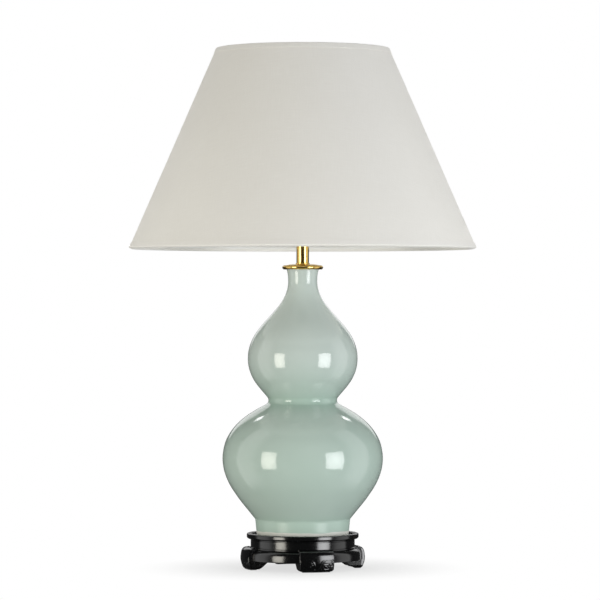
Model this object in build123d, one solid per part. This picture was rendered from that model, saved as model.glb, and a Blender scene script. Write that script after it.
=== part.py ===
from build123d import *
import math
import os

# Double gourd table lamp. Millimetres, +Z up, origin on the floor under the lamp's axis.
# The front foot of the stand points towards -Y.

# ---------------------------------------------------------------- clearances
GLUE_GAP = 0.15        # between two curved faces that are glued or laid together
THREAD_GAP = 0.05      # radial, between a plain male and female thread
PRESS_GAP = 0.05       # radial, a plug pushed into a hole
RUN_GAP = 0.08         # radial, a shaft that turns or slides in its hole
FREE_GAP = 0.3         # between pieces that move past each other

# ---------------------------------------------------------------- wooden stand
PAD_T = 1.0            # felt strip under each foot
PAD_INSET = 1.0        # felt from the edges of the foot's sole
FOOT_W = 51.0          # across each foot
FOOT_R = 91.0          # axis to the widest point of a foot
FOOT_BULGE_Z = 17.0    # height of that widest point
FOOT_CORNER_R = 4.0    # rounding of a foot's lower corners, seen from the front
TOE_OUT_R = 86.5       # where the foot stands, outer and inner radius
TOE_IN_R = 74.5
TOE_LIFT = 2.2         # height of the rounding along the toe
HEEL_R = 62.0          # inner end of the foot under the apron
LET_IN_R = 70.0        # bottom of the notch that holds the foot in the apron
SHOULDER_W = 3.5       # flat on top of the foot, beside the waist
SHOULDER_RISE = 2.8    # top of the foot above the apron

APRON_LIFT = 13.0      # floor to the apron's lower edge
APRON_H = 16.0
APRON_R = 85.5
APRON_EDGE_H = 8.0     # upright lower part of the apron's face
APRON_TOP_R = 80.0
HOLLOW_R = 58.0        # open middle of the apron and waist rings

WAIST_R = 76.3
WAIST_H = 14.5
BEAD_R = 77.8          # small bead round the foot of the waist
BEAD_H = 2.4
COVE = 0.8             # depth of the dark line cut under the plate
COVE_H = 1.4

PLATE_R = 82.0
PLATE_T = 8.0
PLATE_EDGE_H = 4.0     # upright part of the plate's edge, above its rounded underside
PLATE_ROUND_W = 5.2    # how far the rounded underside runs inwards
PLATE_EASE = 1.8       # rounding of the lip's top corner
RECESS_D = 3.0
RECESS_PLAY = 6.7      # around the vase's foot

# ---------------------------------------------------------------- cord bush in the waist
BUSH_ANGLE = 45.0      # from +X, between the right and back feet
BUSH_BORE_R = 3.2
BUSH_WALL = 1.0
BUSH_FLANGE_R = 5.2
BUSH_FLANGE_T = 1.6

# ---------------------------------------------------------------- vase
VASE_FELT_T = 1.0
VASE_FELT_W = 12.0
VASE_H = 391.0
VASE_WALL = 5.0
VASE_FLOOR_T = 8.0
FOOT_RING_R = 67.3     # foot of the vase, at its bottom
FOOT_TOP_R = 69.6      # foot of the vase, where the belly starts
FOOT_TOP_H = 22.5
BELLY_R = 117.5
BELLY_H = 111.5
CREASE_R = 50.2        # the waist between the two gourds
CREASE_H = 196.8
CREASE_ROUND = 6.7
BULB_R = 80.5
BULB_H = 258.0
NECK_R = 21.3
NECK_DROP = 19.5       # from the mouth down to the narrowest point
MOUTH_R = 24.3
BELLY_START = 52.0     # slope of the glaze in degrees: 0 runs outwards, 90 straight up
CREASE_IN = 149.0
CREASE_OUT = 51.0
MOUTH_SLOPE = 70.0

# ---------------------------------------------------------------- rod, cap and stem
ROD_R = 5.0
ROD_BORE_R = 3.5
ROD_HOLE_PLAY = 0.4    # around the rod in the wood and the bung
VASE_HOLE_R = 7.0
NUT_AF = 17.0
NUT_T = 6.0
WASHER_R = 15.0
WASHER_T = 1.6
ROD_PROUD = 3.0        # rod below its nut

BUNG_L = 26.0
CAP_R = 30.0
CAP_ROLL_R = 2.6       # radius of the rolled bead
CAP_SHEET = 1.5
CAP_RISE = 5.0         # top of the cap above the vase's mouth
CAP_FLAT_R = 11.0
COLLAR_R = 10.2
COLLAR_H = 1.8
SPIGOT_L = 8.0
STEM_R = 9.15
STEM_WALL = 1.1
STEM_L = 74.7

# ---------------------------------------------------------------- lampholder
BOSS_R = 9.9
BOSS_H = 4.0
CUP_R = 21.0           # the holder's cup
CUP_H = 23.0
CUP_RIM_H = 5.0        # thin rim that the shell screws into
CUP_SHELF_R = 17.0
CUP_THREAD_H = 9.0     # where the rod ends in the cup's floor
SHELL_R = 19.75
SHELL_WALL = 1.0
SHELL_L = 56.0
SHELL_GAP = 1.0        # from the cup's shelf to the shell's lower edge
SHELL_LIP = 1.75
BLOCK_H = 24.0
INSERT_R = 14.05       # bore of the porcelain insert
INSERT_FLOOR_T = 4.0
SCREW_SHELL_R = 13.5   # bore of the threaded shell for the bulb
SCREW_SHELL_T = 0.5
SCREW_SHELL_L = 25.0
CONTACT_R = 3.5
CONTACT_H = 2.6
CONTACT_PIN_R = 1.5
CONTACT_PIN_L = 4.0    # pin below the insert's floor
SIDE_PLACE = 10.5      # side contact, from the axis
SIDE_HEAD_R = 1.6
TERMINAL_PLACE = 11.0
TERMINAL_HEAD_R = 2.8
TERMINAL_HEAD_H = 2.2
TERMINAL_SHANK_R = 1.8
TERMINAL_SHANK_L = 6.0

SWITCH_H = 12.0        # switch bar's axis above the cup's shelf
SWITCH_R = 2.5
SWITCH_L = 60.0
SWITCH_TRAVEL = 5.0
KNOB_R = 4.5
KNOB_L = 8.0
KNOB_CAP = 1.0         # knob beyond the end of the bar
KNOB_EASE = 1.2

RING_SEAT = 31.0       # lower shade ring's underside, above the cup's shelf
RING_LOW_T = 4.0
RING_LOW_R = 27.0
RING_UP_T = 5.0
RING_UP_R = 25.0
RING_GRIPS = 20        # hollows round the edge of each ring
RING_GRIP_R = 1.6

# ---------------------------------------------------------------- bulb
BULB_GAP = 0.1         # under the bulb's tip
TIP_R = 4.8
TIP_H = 1.6
INSULATOR_R = 10.5
INSULATOR_H = 3.8
SCREW_R = 13.2
SCREW_L = 21.0
GLASS_R = 30.0
GLASS_L = 80.6
GLASS_T = 0.8

# ---------------------------------------------------------------- shade carrier
FITTER_T = 1.6
FITTER_R = 28.0
STIRRUP_W = 10.0
STIRRUP_REACH = 31.5   # where the stirrup's arms turn upwards
STIRRUP_RISE = 36.0    # where they turn upright
PIVOT_RISE = 50.0      # gimbal pivots above the fitter ring's underside
EAR_H = 5.0            # ear above the pivot
GIMBAL_R = 51.0        # inside radius of the gimbal ring
GIMBAL_T = 1.6
GIMBAL_H = 8.0
PIVOT_R = 2.0
PIVOT_HEAD_R = 4.2
PIVOT_HEAD_T = 2.4
PIVOT_TAIL_R = 3.2
PIVOT_TAIL_T = 1.5
ARM_R = 1.75
ARM_COUNT = 3
ARM_FOOT_H = 4.5       # upright foot of an arm, above and below the pivots

# ---------------------------------------------------------------- shade
SHADE_H = 291.0
SHADE_TOP_R = 127.0
SHADE_BOTTOM_R = 254.0
SHADE_DROP = 136.0     # top of the shade above the pivots
FABRIC_T = 0.8
LINING_T = 0.6
WIRE_R = 2.0
WIRE_INSET = 3.2       # wire's centre from the shade's edge
TAPE_T = 0.5
TAPE_H = 6.5

# ---------------------------------------------------------------- heights that follow
APRON_TOP = APRON_LIFT + APRON_H
WAIST_TOP = APRON_TOP + WAIST_H
PLATE_TOP = WAIST_TOP + PLATE_T
VASE_BOTTOM = PLATE_TOP - RECESS_D + VASE_FELT_T
MOUTH_Z = VASE_BOTTOM + VASE_H
CAP_TOP = MOUTH_Z + CAP_RISE
STEM_BOTTOM = CAP_TOP + COLLAR_H
STEM_TOP = STEM_BOTTOM + STEM_L
SHELF_Z = STEM_TOP + CUP_H - CUP_RIM_H
INSERT_Z = SHELF_Z + BLOCK_H
CONTACT_TOP = INSERT_Z + INSERT_FLOOR_T + CONTACT_H
SHELL_BOTTOM = SHELF_Z + SHELL_GAP
SHELL_TOP = SHELL_BOTTOM + SHELL_L
SWITCH_Z = SHELF_Z + SWITCH_H
RING_LOW_Z = SHELF_Z + RING_SEAT
FITTER_Z = RING_LOW_Z + RING_LOW_T
RING_UP_Z = FITTER_Z + FITTER_T + FREE_GAP
PIVOT_Z = FITTER_Z + PIVOT_RISE
SHADE_TOP = PIVOT_Z + SHADE_DROP
SHADE_BOTTOM = SHADE_TOP - SHADE_H
BULB_BOTTOM = CONTACT_TOP + BULB_GAP

FEET = {"front": 0, "right": 90, "back": 180, "left": 270}
MIDWAY = math.sqrt(0.5)   # the middle of a quarter circle, as a share of its radius


# ---------------------------------------------------------------- helpers
def turned(*edges):
    """Solid of revolution about the lamp's axis: x is the radius, y the height."""
    return revolve(Plane.XZ * make_face(list(edges)), Axis.Z)


def outline(*points):
    """Closed outline with straight sides."""
    return Polyline(*points, close=True)


def ring(inner, outer, bottom, top):
    """Plain ring, or a disc where the inner radius is 0."""
    return turned(outline((inner, bottom), (outer, bottom), (outer, top), (inner, top)))


def swell(start, start_angle, end, end_angle, fullness):
    """Smooth curve that leaves and arrives at the given angles.

    fullness is how far it keeps each direction, as a share of the chord.
    """
    first, last = Vector(*start), Vector(*end)
    chord = (last - first).length
    leave = Vector(math.cos(math.radians(start_angle)), math.sin(math.radians(start_angle)))
    arrive = Vector(math.cos(math.radians(end_angle)), math.sin(math.radians(end_angle)))
    return Bezier(first, first + leave * chord * fullness[0], last - arrive * chord * fullness[1], last)


def inset(curve, wall, steps=8):
    """The curve moved inwards by the wall, square to itself, for a curve drawn upwards."""
    points = []
    for step in range(steps + 1):
        tangent = curve % (step / steps)
        points.append(curve @ (step / steps) + Vector(-tangent.Y, tangent.X) * wall)
    return Spline(*points)


def bar(radius, start, end):
    """Round bar between two points."""
    run = Vector(*end) - Vector(*start)
    return extrude(Plane(origin=start, z_dir=run) * Circle(radius), amount=run.length)


def cone_radius(z):
    """Radius of the shade's outer face at a height."""
    share = (z - SHADE_BOTTOM) / SHADE_H
    return SHADE_BOTTOM_R + (SHADE_TOP_R - SHADE_BOTTOM_R) * share


SLANT = math.hypot(SHADE_H, SHADE_BOTTOM_R - SHADE_TOP_R) / SHADE_H   # level width per thickness


def cone_skin(depth, thickness, bottom, top):
    """Skin of the shade, lying at a depth behind its outer face."""
    outer = depth * SLANT
    inner = (depth + thickness) * SLANT
    return turned(outline(
        (cone_radius(bottom) - inner, bottom),
        (cone_radius(bottom) - outer, bottom),
        (cone_radius(top) - outer, top),
        (cone_radius(top) - inner, top)))


def save(name, solid):
    export_step(solid, f"parts/{name}.step")


# ---------------------------------------------------------------- stand
def stand_foot():
    """Front foot: a turned profile cut to the foot's width, let into the apron."""
    shoulder_z = APRON_TOP + SHOULDER_RISE
    shoulder = (BEAD_R + SHOULDER_W, shoulder_z)
    bulge = (FOOT_R, FOOT_BULGE_Z)
    toe = (TOE_OUT_R + TOE_LIFT * 0.7, PAD_T + TOE_LIFT)
    profile = turned(
        swell(shoulder, 0, bulge, -90, (0.45, 0.35)),
        swell(bulge, -90, toe, -105, (0.4, 0.3)),
        Polyline(
            toe,
            (TOE_OUT_R, PAD_T),
            (TOE_IN_R, PAD_T),
            (HEEL_R, APRON_LIFT),
            (LET_IN_R, APRON_LIFT),
            (LET_IN_R, APRON_TOP),
            (BEAD_R, APRON_TOP),
            (BEAD_R, shoulder_z),
            shoulder))
    front = make_face(outline(
        (-FOOT_W / 2, PAD_T), (FOOT_W / 2, PAD_T), (FOOT_W / 2, shoulder_z), (-FOOT_W / 2, shoulder_z)))
    front = fillet(front.vertices().group_by(Axis.Y)[0], FOOT_CORNER_R)
    return profile & extrude(Plane.XZ * front, amount=2 * FOOT_R)


def felt_pad():
    """Strip of felt that follows the front foot's sole."""
    sole_w = FOOT_W - 2 * FOOT_CORNER_R
    strip = ring(TOE_IN_R + PAD_INSET, TOE_OUT_R - PAD_INSET, 0, PAD_T)
    return strip & Pos(0, -TOE_OUT_R, PAD_T / 2) * Box(sole_w - 2 * PAD_INSET, TOE_OUT_R, PAD_T)


def foot_notch():
    """Room for the front foot in the apron."""
    reach = 2 * FOOT_R
    slab = Pos(0, -reach / 2, APRON_LIFT + APRON_H / 2) * Box(FOOT_W, reach, APRON_H)
    return slab - ring(0, LET_IN_R, APRON_LIFT, APRON_TOP)


def stand_apron():
    """Ring with a face that curves inwards above, notched for the four feet."""
    bend = (APRON_R, APRON_LIFT + APRON_EDGE_H)
    solid = turned(
        Polyline(
            bend,
            (APRON_R, APRON_LIFT),
            (HOLLOW_R, APRON_LIFT),
            (HOLLOW_R, APRON_TOP),
            (APRON_TOP_R, APRON_TOP)),
        swell((APRON_TOP_R, APRON_TOP), -35, bend, -90, (0.45, 0.45)))
    for angle in FEET.values():
        solid -= Rot(Z=angle) * foot_notch()
    return solid


def bush_placed(solid):
    """Turn a piece drawn along +X at the origin to the cord bush's place in the waist."""
    middle = (APRON_TOP + BEAD_H + WAIST_TOP - COVE_H) / 2
    return Pos(0, 0, middle) * Rot(Z=BUSH_ANGLE) * solid


def stand_waist():
    solid = turned(outline(
        (HOLLOW_R, APRON_TOP),
        (BEAD_R, APRON_TOP),
        (BEAD_R, APRON_TOP + BEAD_H),
        (WAIST_R, APRON_TOP + BEAD_H),
        (WAIST_R, WAIST_TOP - COVE_H),
        (WAIST_R - COVE, WAIST_TOP - COVE_H),
        (WAIST_R - COVE, WAIST_TOP),
        (HOLLOW_R, WAIST_TOP)))
    hole = BUSH_BORE_R + BUSH_WALL + PRESS_GAP
    return solid - bush_placed(bar(hole, (0, 0, 0), (2 * WAIST_R, 0, 0)))


def cord_bush():
    """Flanged tube through the waist's wall, where the cord leaves the hollow stand."""
    outer_face = WAIST_R + FREE_GAP
    tube = bar(BUSH_BORE_R + BUSH_WALL, (HOLLOW_R, 0, 0), (outer_face, 0, 0))
    flange = bar(BUSH_FLANGE_R, (outer_face, 0, 0), (outer_face + BUSH_FLANGE_T, 0, 0))
    bore = bar(BUSH_BORE_R, (0, 0, 0), (2 * WAIST_R, 0, 0))
    return bush_placed(tube + flange - bore)


def stand_top_plate():
    """Plate with a rounded underside to its edge and a recess for the vase."""
    under_r = PLATE_R - PLATE_ROUND_W
    edge_z = PLATE_TOP - PLATE_EDGE_H
    recess_r = FOOT_RING_R + RECESS_PLAY
    recess_z = PLATE_TOP - RECESS_D
    ease = PLATE_EASE * (1 - MIDWAY)
    return turned(
        Polyline((under_r, WAIST_TOP), (ROD_R + ROD_HOLE_PLAY, WAIST_TOP), (ROD_R + ROD_HOLE_PLAY, recess_z),
                 (recess_r, recess_z), (recess_r, PLATE_TOP), (PLATE_R - PLATE_EASE, PLATE_TOP)),
        ThreePointArc(
            (PLATE_R - PLATE_EASE, PLATE_TOP),
            (PLATE_R - ease, PLATE_TOP - ease),
            (PLATE_R, PLATE_TOP - PLATE_EASE)),
        Line((PLATE_R, PLATE_TOP - PLATE_EASE), (PLATE_R, edge_z)),
        ThreePointArc(
            (PLATE_R, edge_z),
            (under_r + PLATE_ROUND_W * MIDWAY, WAIST_TOP + (edge_z - WAIST_TOP) * (1 - MIDWAY)),
            (under_r, WAIST_TOP)))


# ---------------------------------------------------------------- vase
def vase():
    """Double gourd, hollow, open at the neck, with a hole in its floor for the rod."""
    foot = (FOOT_RING_R, VASE_BOTTOM)
    foot_top = (FOOT_TOP_R, VASE_BOTTOM + FOOT_TOP_H)
    belly = (BELLY_R, VASE_BOTTOM + BELLY_H)
    bulb = (BULB_R, VASE_BOTTOM + BULB_H)
    neck = (NECK_R, MOUTH_Z - NECK_DROP)
    mouth = (MOUTH_R, MOUTH_Z)

    # the crease is an arc whose centre lies outside the glaze
    middle = Vector(CREASE_R + CREASE_ROUND, VASE_BOTTOM + CREASE_H)

    def crease_point(slope, radius):
        turn = math.radians(slope + 90)
        return middle + Vector(math.cos(turn), math.sin(turn)) * radius

    def crease_arc(radius):
        return ThreePointArc(
            crease_point(CREASE_IN, radius), crease_point(90, radius), crease_point(CREASE_OUT, radius))

    low = crease_point(CREASE_IN, CREASE_ROUND)
    high = crease_point(CREASE_OUT, CREASE_ROUND)
    foot_line = Line(foot, foot_top)
    curves = [
        swell(foot_top, BELLY_START, belly, 90, (0.35, 0.35)),
        swell(belly, 90, (low.X, low.Y), CREASE_IN, (0.5, 0.15)),
        swell((high.X, high.Y), CREASE_OUT, bulb, 90, (0.25, 0.45)),
        swell(bulb, 90, neck, 90, (0.4, 0.35)),
        swell(neck, 90, mouth, MOUTH_SLOPE, (0.12, 0.43))]

    inner = [inset(curve, VASE_WALL) for curve in curves]
    cavity_floor = VASE_BOTTOM + VASE_FLOOR_T
    inner_foot_r = FOOT_RING_R - VASE_WALL
    above_mouth = ring(0, 2 * MOUTH_R, MOUTH_Z, MOUTH_Z + VASE_WALL)
    shell = turned(
        foot_line,
        *curves,
        crease_arc(CREASE_ROUND),
        Line(mouth, inner[-1] @ 1),
        *inner,
        crease_arc(CREASE_ROUND + VASE_WALL),
        Polyline(inner[0] @ 0, (inner_foot_r, cavity_floor), (VASE_HOLE_R, cavity_floor),
                 (VASE_HOLE_R, VASE_BOTTOM), foot))
    return shell - above_mouth


# ---------------------------------------------------------------- rod, cap, stem
def rod_nut():
    top = WAIST_TOP - WASHER_T
    body = Pos(0, 0, top - NUT_T) * extrude(RegularPolygon(NUT_AF / 2, 6, major_radius=False), amount=NUT_T)
    return body - ring(0, ROD_R + THREAD_GAP, top - 2 * NUT_T, top + NUT_T)


def vase_cap():
    """Domed sheet with a rolled bead that hangs just outside the vase's mouth."""
    hole = ROD_R + GLUE_GAP
    edge = CAP_R - 1.5 * CAP_ROLL_R
    seat = MOUTH_R - VASE_WALL / 2
    dome_mid = (edge + CAP_FLAT_R) / 2
    dome = turned(
        Polyline((CAP_FLAT_R, CAP_TOP), (hole, CAP_TOP), (hole, CAP_TOP - CAP_SHEET),
                 (CAP_FLAT_R, CAP_TOP - CAP_SHEET)),
        ThreePointArc(
            (CAP_FLAT_R, CAP_TOP - CAP_SHEET),
            ((seat + CAP_FLAT_R) / 2, CAP_TOP - CAP_SHEET - CAP_RISE * 0.25),
            (seat, MOUTH_Z)),
        Polyline((seat, MOUTH_Z), (edge, MOUTH_Z), (edge, MOUTH_Z + CAP_SHEET)),
        ThreePointArc(
            (edge, MOUTH_Z + CAP_SHEET),
            (dome_mid, CAP_TOP - (CAP_RISE - CAP_SHEET) * 0.4),
            (CAP_FLAT_R, CAP_TOP)))
    return dome + Pos(0, 0, MOUTH_Z) * Torus(CAP_R - CAP_ROLL_R, CAP_ROLL_R)


def stem_collar():
    hole = ROD_R + GLUE_GAP
    spigot = STEM_R - STEM_WALL - PRESS_GAP
    return ring(hole, COLLAR_R, CAP_TOP, STEM_BOTTOM) + ring(hole, spigot, CAP_TOP, STEM_BOTTOM + SPIGOT_L)


# ---------------------------------------------------------------- lampholder
def holder_cup():
    """Turned cup: boss, bell, a shelf for the terminal block and a thin threaded rim."""
    floor_z = STEM_TOP + CUP_THREAD_H
    rim_z = SHELF_Z + CUP_RIM_H
    hole = ROD_R + THREAD_GAP
    rim_inner = SHELL_R + THREAD_GAP
    boss = (BOSS_R, STEM_TOP + BOSS_H)
    bell = (CUP_R, SHELF_Z - 1.0)
    return turned(
        Polyline((hole, floor_z), (hole, STEM_TOP), (BOSS_R, STEM_TOP), boss),
        swell(boss, 0, bell, 90, (0.4, 0.4)),
        Polyline(bell, (CUP_R, rim_z), (rim_inner, rim_z), (rim_inner, SHELF_Z), (CUP_SHELF_R, SHELF_Z),
                 (CUP_SHELF_R, SHELF_Z - 1.5), (ROD_R + 3.0, floor_z), (hole, floor_z)))


def switch_bore(radius):
    return bar(radius, (-2 * SHELL_R, 0, SWITCH_Z), (2 * SHELL_R, 0, SWITCH_Z))


def at_terminals(solid):
    """The two terminal screws' places under the block."""
    return [Pos(0, side * TERMINAL_PLACE, 0) * solid for side in (-1, 1)]


def terminal_block():
    """Insulating block with a bore for the switch bar and holes for screws and contacts."""
    solid = ring(0, SHELL_R - SHELL_WALL - PRESS_GAP, SHELF_Z, INSERT_Z)
    solid -= switch_bore(SWITCH_R + RUN_GAP)
    for hole in at_terminals(ring(0, TERMINAL_SHANK_R + PRESS_GAP, SHELF_Z, SHELF_Z + TERMINAL_SHANK_L)):
        solid -= hole
    pin_hole = ring(0, CONTACT_PIN_R + PRESS_GAP, INSERT_Z - CONTACT_PIN_L, INSERT_Z)
    return solid - pin_hole - Pos(SIDE_PLACE, 0, 0) * pin_hole


def terminal_screws():
    head = ring(0, TERMINAL_HEAD_R, SHELF_Z - TERMINAL_HEAD_H, SHELF_Z)
    shank = ring(0, TERMINAL_SHANK_R, SHELF_Z, SHELF_Z + TERMINAL_SHANK_L)
    slot = Pos(0, 0, SHELF_Z - TERMINAL_HEAD_H) * Box(2 * TERMINAL_HEAD_R, 0.8, 1.2)
    return Compound(at_terminals(head + shank - slot))


def holder_shell():
    """Threaded brass skirt, with a lip that keeps the porcelain in and holes for the switch bar."""
    inner = SHELL_R - SHELL_WALL
    solid = turned(outline(
        (inner, SHELL_BOTTOM), (SHELL_R, SHELL_BOTTOM), (SHELL_R, SHELL_TOP),
        (inner - SHELL_LIP, SHELL_TOP), (inner - SHELL_LIP, SHELL_TOP - SHELL_WALL),
        (inner, SHELL_TOP - SHELL_WALL)))
    return solid - switch_bore(SWITCH_R + 2 * FREE_GAP)


def holder_insert():
    """Porcelain cup around the screw shell."""
    outer = SHELL_R - SHELL_WALL - PRESS_GAP
    floor_z = INSERT_Z + INSERT_FLOOR_T
    solid = ring(0, outer, INSERT_Z, SHELL_TOP - SHELL_WALL) - ring(0, INSERT_R, floor_z, SHELL_TOP)
    pin_hole = ring(0, CONTACT_PIN_R + PRESS_GAP, INSERT_Z, floor_z)
    return solid - pin_hole - Pos(SIDE_PLACE, 0, 0) * pin_hole


def screw_shell():
    floor_z = INSERT_Z + INSERT_FLOOR_T
    outer = SCREW_SHELL_R + SCREW_SHELL_T
    base_hole = SIDE_PLACE - SIDE_HEAD_R
    tube = ring(SCREW_SHELL_R, outer, floor_z, floor_z + SCREW_SHELL_L)
    base = ring(base_hole, outer, floor_z, floor_z + SCREW_SHELL_T)
    return tube + base - Pos(SIDE_PLACE, 0, 0) * ring(0, CONTACT_PIN_R + PRESS_GAP, floor_z, SHELL_TOP)


def contact_pin(head_bottom, head_top, head_r):
    pin = ring(0, CONTACT_PIN_R, INSERT_Z - CONTACT_PIN_L, head_bottom)
    return pin + ring(0, head_r, head_bottom, head_top)


def switch_bar_piece(solid):
    """The switch bar rests pushed to -X, half its travel off centre."""
    return Pos(-SWITCH_TRAVEL / 2, 0, SWITCH_Z) * solid


def switch_knob(side):
    """Knob on one end of the bar; side is -1 or 1."""
    inner = SWITCH_L / 2 - KNOB_L + KNOB_CAP
    outer = SWITCH_L / 2 + KNOB_CAP
    knob = extrude(Plane(origin=(side * inner, 0, 0), z_dir=(side, 0, 0)) * Circle(KNOB_R), amount=KNOB_L)
    knob = fillet(knob.edges().sort_by(Axis.X)[-1 if side > 0 else 0], KNOB_EASE)
    socket = bar(SWITCH_R + PRESS_GAP, (0, 0, 0), (side * (outer - KNOB_CAP), 0, 0))
    return switch_bar_piece(knob - socket)


def shade_ring(outer, bottom, thickness):
    """Threaded ring with hollows round its edge for the fingers."""
    solid = ring(SHELL_R + THREAD_GAP, outer, bottom, bottom + thickness)
    grip = Pos(outer + RING_GRIP_R / 2, 0, 0) * ring(0, RING_GRIP_R, bottom, bottom + thickness)
    for index in range(RING_GRIPS):
        solid -= Rot(Z=360 * index / RING_GRIPS) * grip
    return solid


# ---------------------------------------------------------------- bulb
CAP_BOTTOM = BULB_BOTTOM + TIP_H + INSULATOR_H
GLASS_BOTTOM = CAP_BOTTOM + SCREW_L
GLASS_TOP = GLASS_BOTTOM + GLASS_L


def bulb_insulator():
    bottom = BULB_BOTTOM + TIP_H
    return turned(outline((0, bottom), (TIP_R, bottom), (INSULATOR_R, CAP_BOTTOM), (0, CAP_BOTTOM)))


def bulb_cap():
    """Thin screw cap, closed below by the insulator's rim."""
    inner = SCREW_R - GLASS_T
    return turned(outline(
        (INSULATOR_R - 2.0, CAP_BOTTOM), (INSULATOR_R, CAP_BOTTOM), (SCREW_R, CAP_BOTTOM + 2.0),
        (SCREW_R, GLASS_BOTTOM), (inner, GLASS_BOTTOM), (inner, CAP_BOTTOM + 2.0 + GLASS_T),
        (INSULATOR_R - 2.0, CAP_BOTTOM + GLASS_T)))


def bulb_glass():
    """Pear shape: a neck that swells into a sphere."""
    def half(offset):
        """Neck and sphere, moved in by an offset."""
        radius = GLASS_R - offset
        middle = GLASS_TOP - GLASS_R
        neck = (SCREW_R - offset, GLASS_BOTTOM)
        side = (radius, middle)
        low = MIDWAY * radius
        return [
            swell(neck, 90, side, 90, (0.4, 0.45)),
            ThreePointArc(side, (low, middle + low), (0, middle + radius))]

    outer = half(0)
    inner = half(GLASS_T)
    return turned(
        *outer, *inner,
        Line(outer[0] @ 0, inner[0] @ 0),
        Line(outer[1] @ 1, inner[1] @ 1))


# ---------------------------------------------------------------- shade carrier
EAR_OUT = math.sqrt((GIMBAL_R - FREE_GAP) ** 2 - (STIRRUP_W / 2) ** 2)   # ear clear of the ring


def gimbal_stirrup():
    """Fitter ring on the lampholder with two arms that rise to the pivots."""
    top = FITTER_Z + FITTER_T
    knee = FITTER_Z + STIRRUP_RISE
    ear_top = PIVOT_Z + EAR_H
    root = SHELL_R + 4.0
    side = make_face(outline(
        (root, FITTER_Z), (STIRRUP_REACH, FITTER_Z), (EAR_OUT, knee), (EAR_OUT, ear_top),
        (EAR_OUT - FITTER_T, ear_top), (EAR_OUT - FITTER_T, knee + 0.4), (STIRRUP_REACH - 0.9, top),
        (root, top)))
    arm = extrude(Plane.XZ * side, amount=STIRRUP_W / 2, both=True)
    solid = ring(SHELL_R + FREE_GAP, FITTER_R, FITTER_Z, top) + arm + Rot(Z=180) * arm
    return solid - bar(PIVOT_R + PRESS_GAP, (-2 * GIMBAL_R, 0, PIVOT_Z), (2 * GIMBAL_R, 0, PIVOT_Z))


def gimbal_pivot(side):
    """Shouldered rivet through the stirrup's ear and the gimbal ring."""
    ear_in = EAR_OUT - FITTER_T
    head = GIMBAL_R + GIMBAL_T + FREE_GAP
    tail = bar(PIVOT_TAIL_R, (side * (ear_in - PIVOT_TAIL_T), 0, PIVOT_Z), (side * ear_in, 0, PIVOT_Z))
    shank = bar(PIVOT_R, (side * ear_in, 0, PIVOT_Z), (side * head, 0, PIVOT_Z))
    cap = bar(PIVOT_HEAD_R, (side * head, 0, PIVOT_Z), (side * (head + PIVOT_HEAD_T), 0, PIVOT_Z))
    return tail + shank + cap


def gimbal_ring():
    band = ring(GIMBAL_R, GIMBAL_R + GIMBAL_T, PIVOT_Z - GIMBAL_H / 2, PIVOT_Z + GIMBAL_H / 2)
    return band - bar(PIVOT_R + RUN_GAP, (-2 * GIMBAL_R, 0, PIVOT_Z), (2 * GIMBAL_R, 0, PIVOT_Z))


def wire_ring(z):
    """Wire hoop lying against the lining at a height."""
    behind = FABRIC_T + LINING_T + 2 * GLUE_GAP + WIRE_R
    return Pos(0, 0, z) * Torus(cone_radius(z) - behind * SLANT, WIRE_R)


ARM_FOOT_R = GIMBAL_R + GIMBAL_T + ARM_R
ARM_ANGLES = [90 + 360 * index / ARM_COUNT for index in range(ARM_COUNT)]


def arm_run(radius):
    """Sloping part of an arm along +X, from its knee to the top hoop."""
    top_z = SHADE_TOP - WIRE_INSET
    behind = FABRIC_T + LINING_T + 2 * GLUE_GAP + WIRE_R
    knee = (ARM_FOOT_R, 0, PIVOT_Z + ARM_FOOT_H)
    return bar(radius, knee, (cone_radius(top_z) - behind * SLANT, 0, top_z))


def shade_arm(angle):
    """Wire from the gimbal ring up to the top hoop, with an upright foot on the ring."""
    knee = (ARM_FOOT_R, 0, PIVOT_Z + ARM_FOOT_H)
    foot = bar(ARM_R, (ARM_FOOT_R, 0, PIVOT_Z - ARM_FOOT_H), knee)
    arm = foot + Pos(*knee) * Sphere(ARM_R) + arm_run(ARM_R) - wire_ring(SHADE_TOP - WIRE_INSET)
    return Rot(Z=angle) * arm


def shade_tape(edge, inward):
    """Binding tape folded round one edge of the shade and its wire.

    edge is the height of the fabric's edge; inward is 1 for the bottom edge, -1 for the top.
    """
    behind = FABRIC_T + LINING_T + 3 * GLUE_GAP + 2 * WIRE_R
    fold = edge - inward * GLUE_GAP
    crease = fold - inward * TAPE_T
    hem = edge + inward * TAPE_H

    def at(z, depth):
        return (cone_radius(z) - depth * SLANT, z)

    front = -GLUE_GAP
    return turned(outline(
        at(hem, front), at(hem, front - TAPE_T), at(crease, front - TAPE_T), at(crease, behind + TAPE_T),
        at(hem, behind + TAPE_T), at(hem, behind), at(fold, behind), at(fold, front)))


# ---------------------------------------------------------------- write every piece
os.makedirs("parts", exist_ok=True)

one_foot = stand_foot()
one_pad = felt_pad()
for side_name, foot_angle in FEET.items():
    save(f"stand_foot_{side_name}", Rot(Z=foot_angle) * one_foot)
    save(f"felt_pad_{side_name}", Rot(Z=foot_angle) * one_pad)
save("stand_apron", stand_apron())
save("stand_waist", stand_waist())
save("stand_top_plate", stand_top_plate())
save("cord_bush", cord_bush())

save("vase_felt_ring", ring(FOOT_RING_R - VASE_FELT_W, FOOT_RING_R, PLATE_TOP - RECESS_D, VASE_BOTTOM))
save("vase", vase())

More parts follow.
